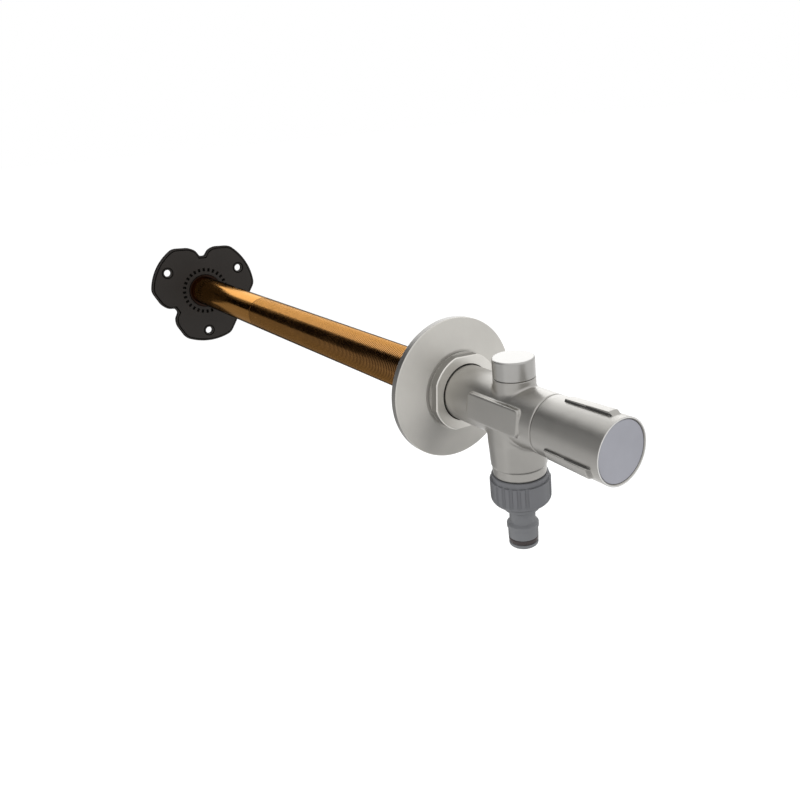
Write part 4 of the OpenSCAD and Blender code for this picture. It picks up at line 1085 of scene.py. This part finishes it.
world = bpy.data.worlds.new("studio")
bpy.context.scene.world = world
nt, out = bare_nodes(world, "ShaderNodeOutputWorld")
sky = lit(nt, "ShaderNodeBackground", 1)
nt.links.new(pale_light(nt, WORLD_REST, WORLD_SHOWN), sky.inputs["Strength"])
nt.links.new(sky.outputs[0], out.inputs["Surface"])


def place_at(azimuth, elevation, distance):
    """A place seen from the tap's middle; azimuth 0 is +Y and grows toward +X, in degrees."""
    az, el = math.radians(azimuth), math.radians(elevation)
    level = math.cos(el)
    return Vector((math.sin(az) * level, math.cos(az) * level, math.sin(el))) * distance


# The one lamp, behind the tap: its size, its light per area, its colour and its place
SOFT_W, SOFT_H, SOFT_LEVEL = 2.8, 1.65, 1.15
SOFT_COLOUR = (0.975, 0.985, 1.0)
SOFT_PLACE = place_at(26, 25, 2.4)

soft = bpy.data.lights.new("light_back", "AREA")
soft.shape = "RECTANGLE"
soft.size, soft.size_y = SOFT_W, SOFT_H
soft.energy = SOFT_LEVEL * math.pi * SOFT_W * SOFT_H
soft.color = SOFT_COLOUR
lamp = added("light_back", soft)
lamp.location = SOFT_PLACE
lamp.rotation_mode = "QUATERNION"
lamp.rotation_quaternion = (-SOFT_PLACE).to_track_quat("-Z", "Y")
lamp.visible_camera = False

# Cards round the horizon that only mirrors see: azimuth from and to, elevation from and to in
# degrees, grey, and the height over the lowest cards where two would lie in one plane
FLAGS = [
    ("flag_tube", -32, -13, 3.5, 34, 0.0, 0.0),
    ("flag_tube_soft", -13, -8, 3.5, 34, 0.3, 0.0),
    ("flag_tube_foot", -32, -8, -8, 3.5, 0.4, 0.0),
    ("flag_back", -85, -32, 3.5, 34, 0.36, 0.0),
    ("flag_back_foot", -85, -40, -8, 3.5, 0.52, 0.0),
    ("flag_back_near", -40, -32, -8, 3.5, 0.36, 0.0),
    ("flag_high", -85, -4, 34, 48, 0.12, 0.0),
    ("flag_low_tube", -34, 20, -36, -8.1, 0.4, 0.01),
    ("flag_low", -85, 20, -30, -8.1, 0.72, 0.0),
    ("flag_foot", -85, 20, -60, -30, 0.85, 0.0),
    ("flag_rim", 22, 64, -24, 8, 1.6, 0.02),
    ("flag_front", 92, 268, -36, -8.1, 0.94, 0.0),
    ("flag_front_high", 92, 268, -8, 22, 0.84, 0.0),
    ("flag_front_low", 92, 268, -72, -36, 0.45, 0.0),
]
# Distance of the cards, the elevation from which they lie flat, how far below the tap's
# middle they do, and degrees in one of their parts
FLAG_AWAY, FLAG_FLAT, FLAG_DOWN, FLAG_PART = 5.0, -8, 0.735, 7.5

for name, start, stop, low, high, grey, lift in FLAGS:
    steps = max(1, int(round((stop - start) / FLAG_PART)))
    turns = [start + (stop - start) * k / steps for k in range(steps + 1)]
    verts = []
    for e in (low, high):
        flat = e <= FLAG_FLAT
        away = (FLAG_DOWN - lift) / math.sin(math.radians(-e)) if flat else FLAG_AWAY
        verts += [place_at(t, e, away) for t in turns]
    mesh = bpy.data.meshes.new(name)
    mesh.from_pydata(verts, [], [(k, k + 1, steps + 2 + k, steps + 1 + k) for k in range(steps)])
    mat = bpy.data.materials.new(name)
    nt, out = bare_nodes(mat)
    nt.links.new(lit(nt, "ShaderNodeEmission", grey).outputs[0], out.inputs["Surface"])
    mesh.materials.append(mat)
    card = added(name, mesh)
    card.visible_camera = False
    card.visible_diffuse = False
    card.visible_shadow = False
    card.visible_transmission = False


# Camera
YAW, PITCH, ROLL = map(math.radians, (-36.0, 19.59, -4.91))
CAMERA_PLACE = (-0.22519, -0.31842, 0.14601)
FOCAL_PX, IMAGE, SENSOR = 736.76, 800.0, 36.0
CENTRE_PX = (459.01, 373.07)
CLIP_START, CLIP_END = 0.01, 50.0

cy, sy, cp, sp = math.cos(YAW), math.sin(YAW), math.cos(PITCH), math.sin(PITCH)
forward = Vector((-sy * cp, cy * cp, -sp))
side = Vector((cy, sy, 0))
up = side.cross(forward)
c, s = math.cos(ROLL), math.sin(ROLL)
view = Matrix((c * side + s * up, -s * side + c * up, -forward)).transposed()
cam_data = bpy.data.cameras.new("camera")
cam = added("camera", cam_data)
cam.matrix_world = Matrix.Translation(CAMERA_PLACE) @ view.to_4x4()
cam_data.sensor_width = SENSOR
cam_data.lens = FOCAL_PX * SENSOR / IMAGE
cam_data.shift_x = 0.5 - CENTRE_PX[0] / IMAGE
cam_data.shift_y = CENTRE_PX[1] / IMAGE - 0.5
cam_data.clip_start, cam_data.clip_end = CLIP_START, CLIP_END
scene = bpy.context.scene
scene.camera = cam
scene.view_settings.view_transform = "Standard"
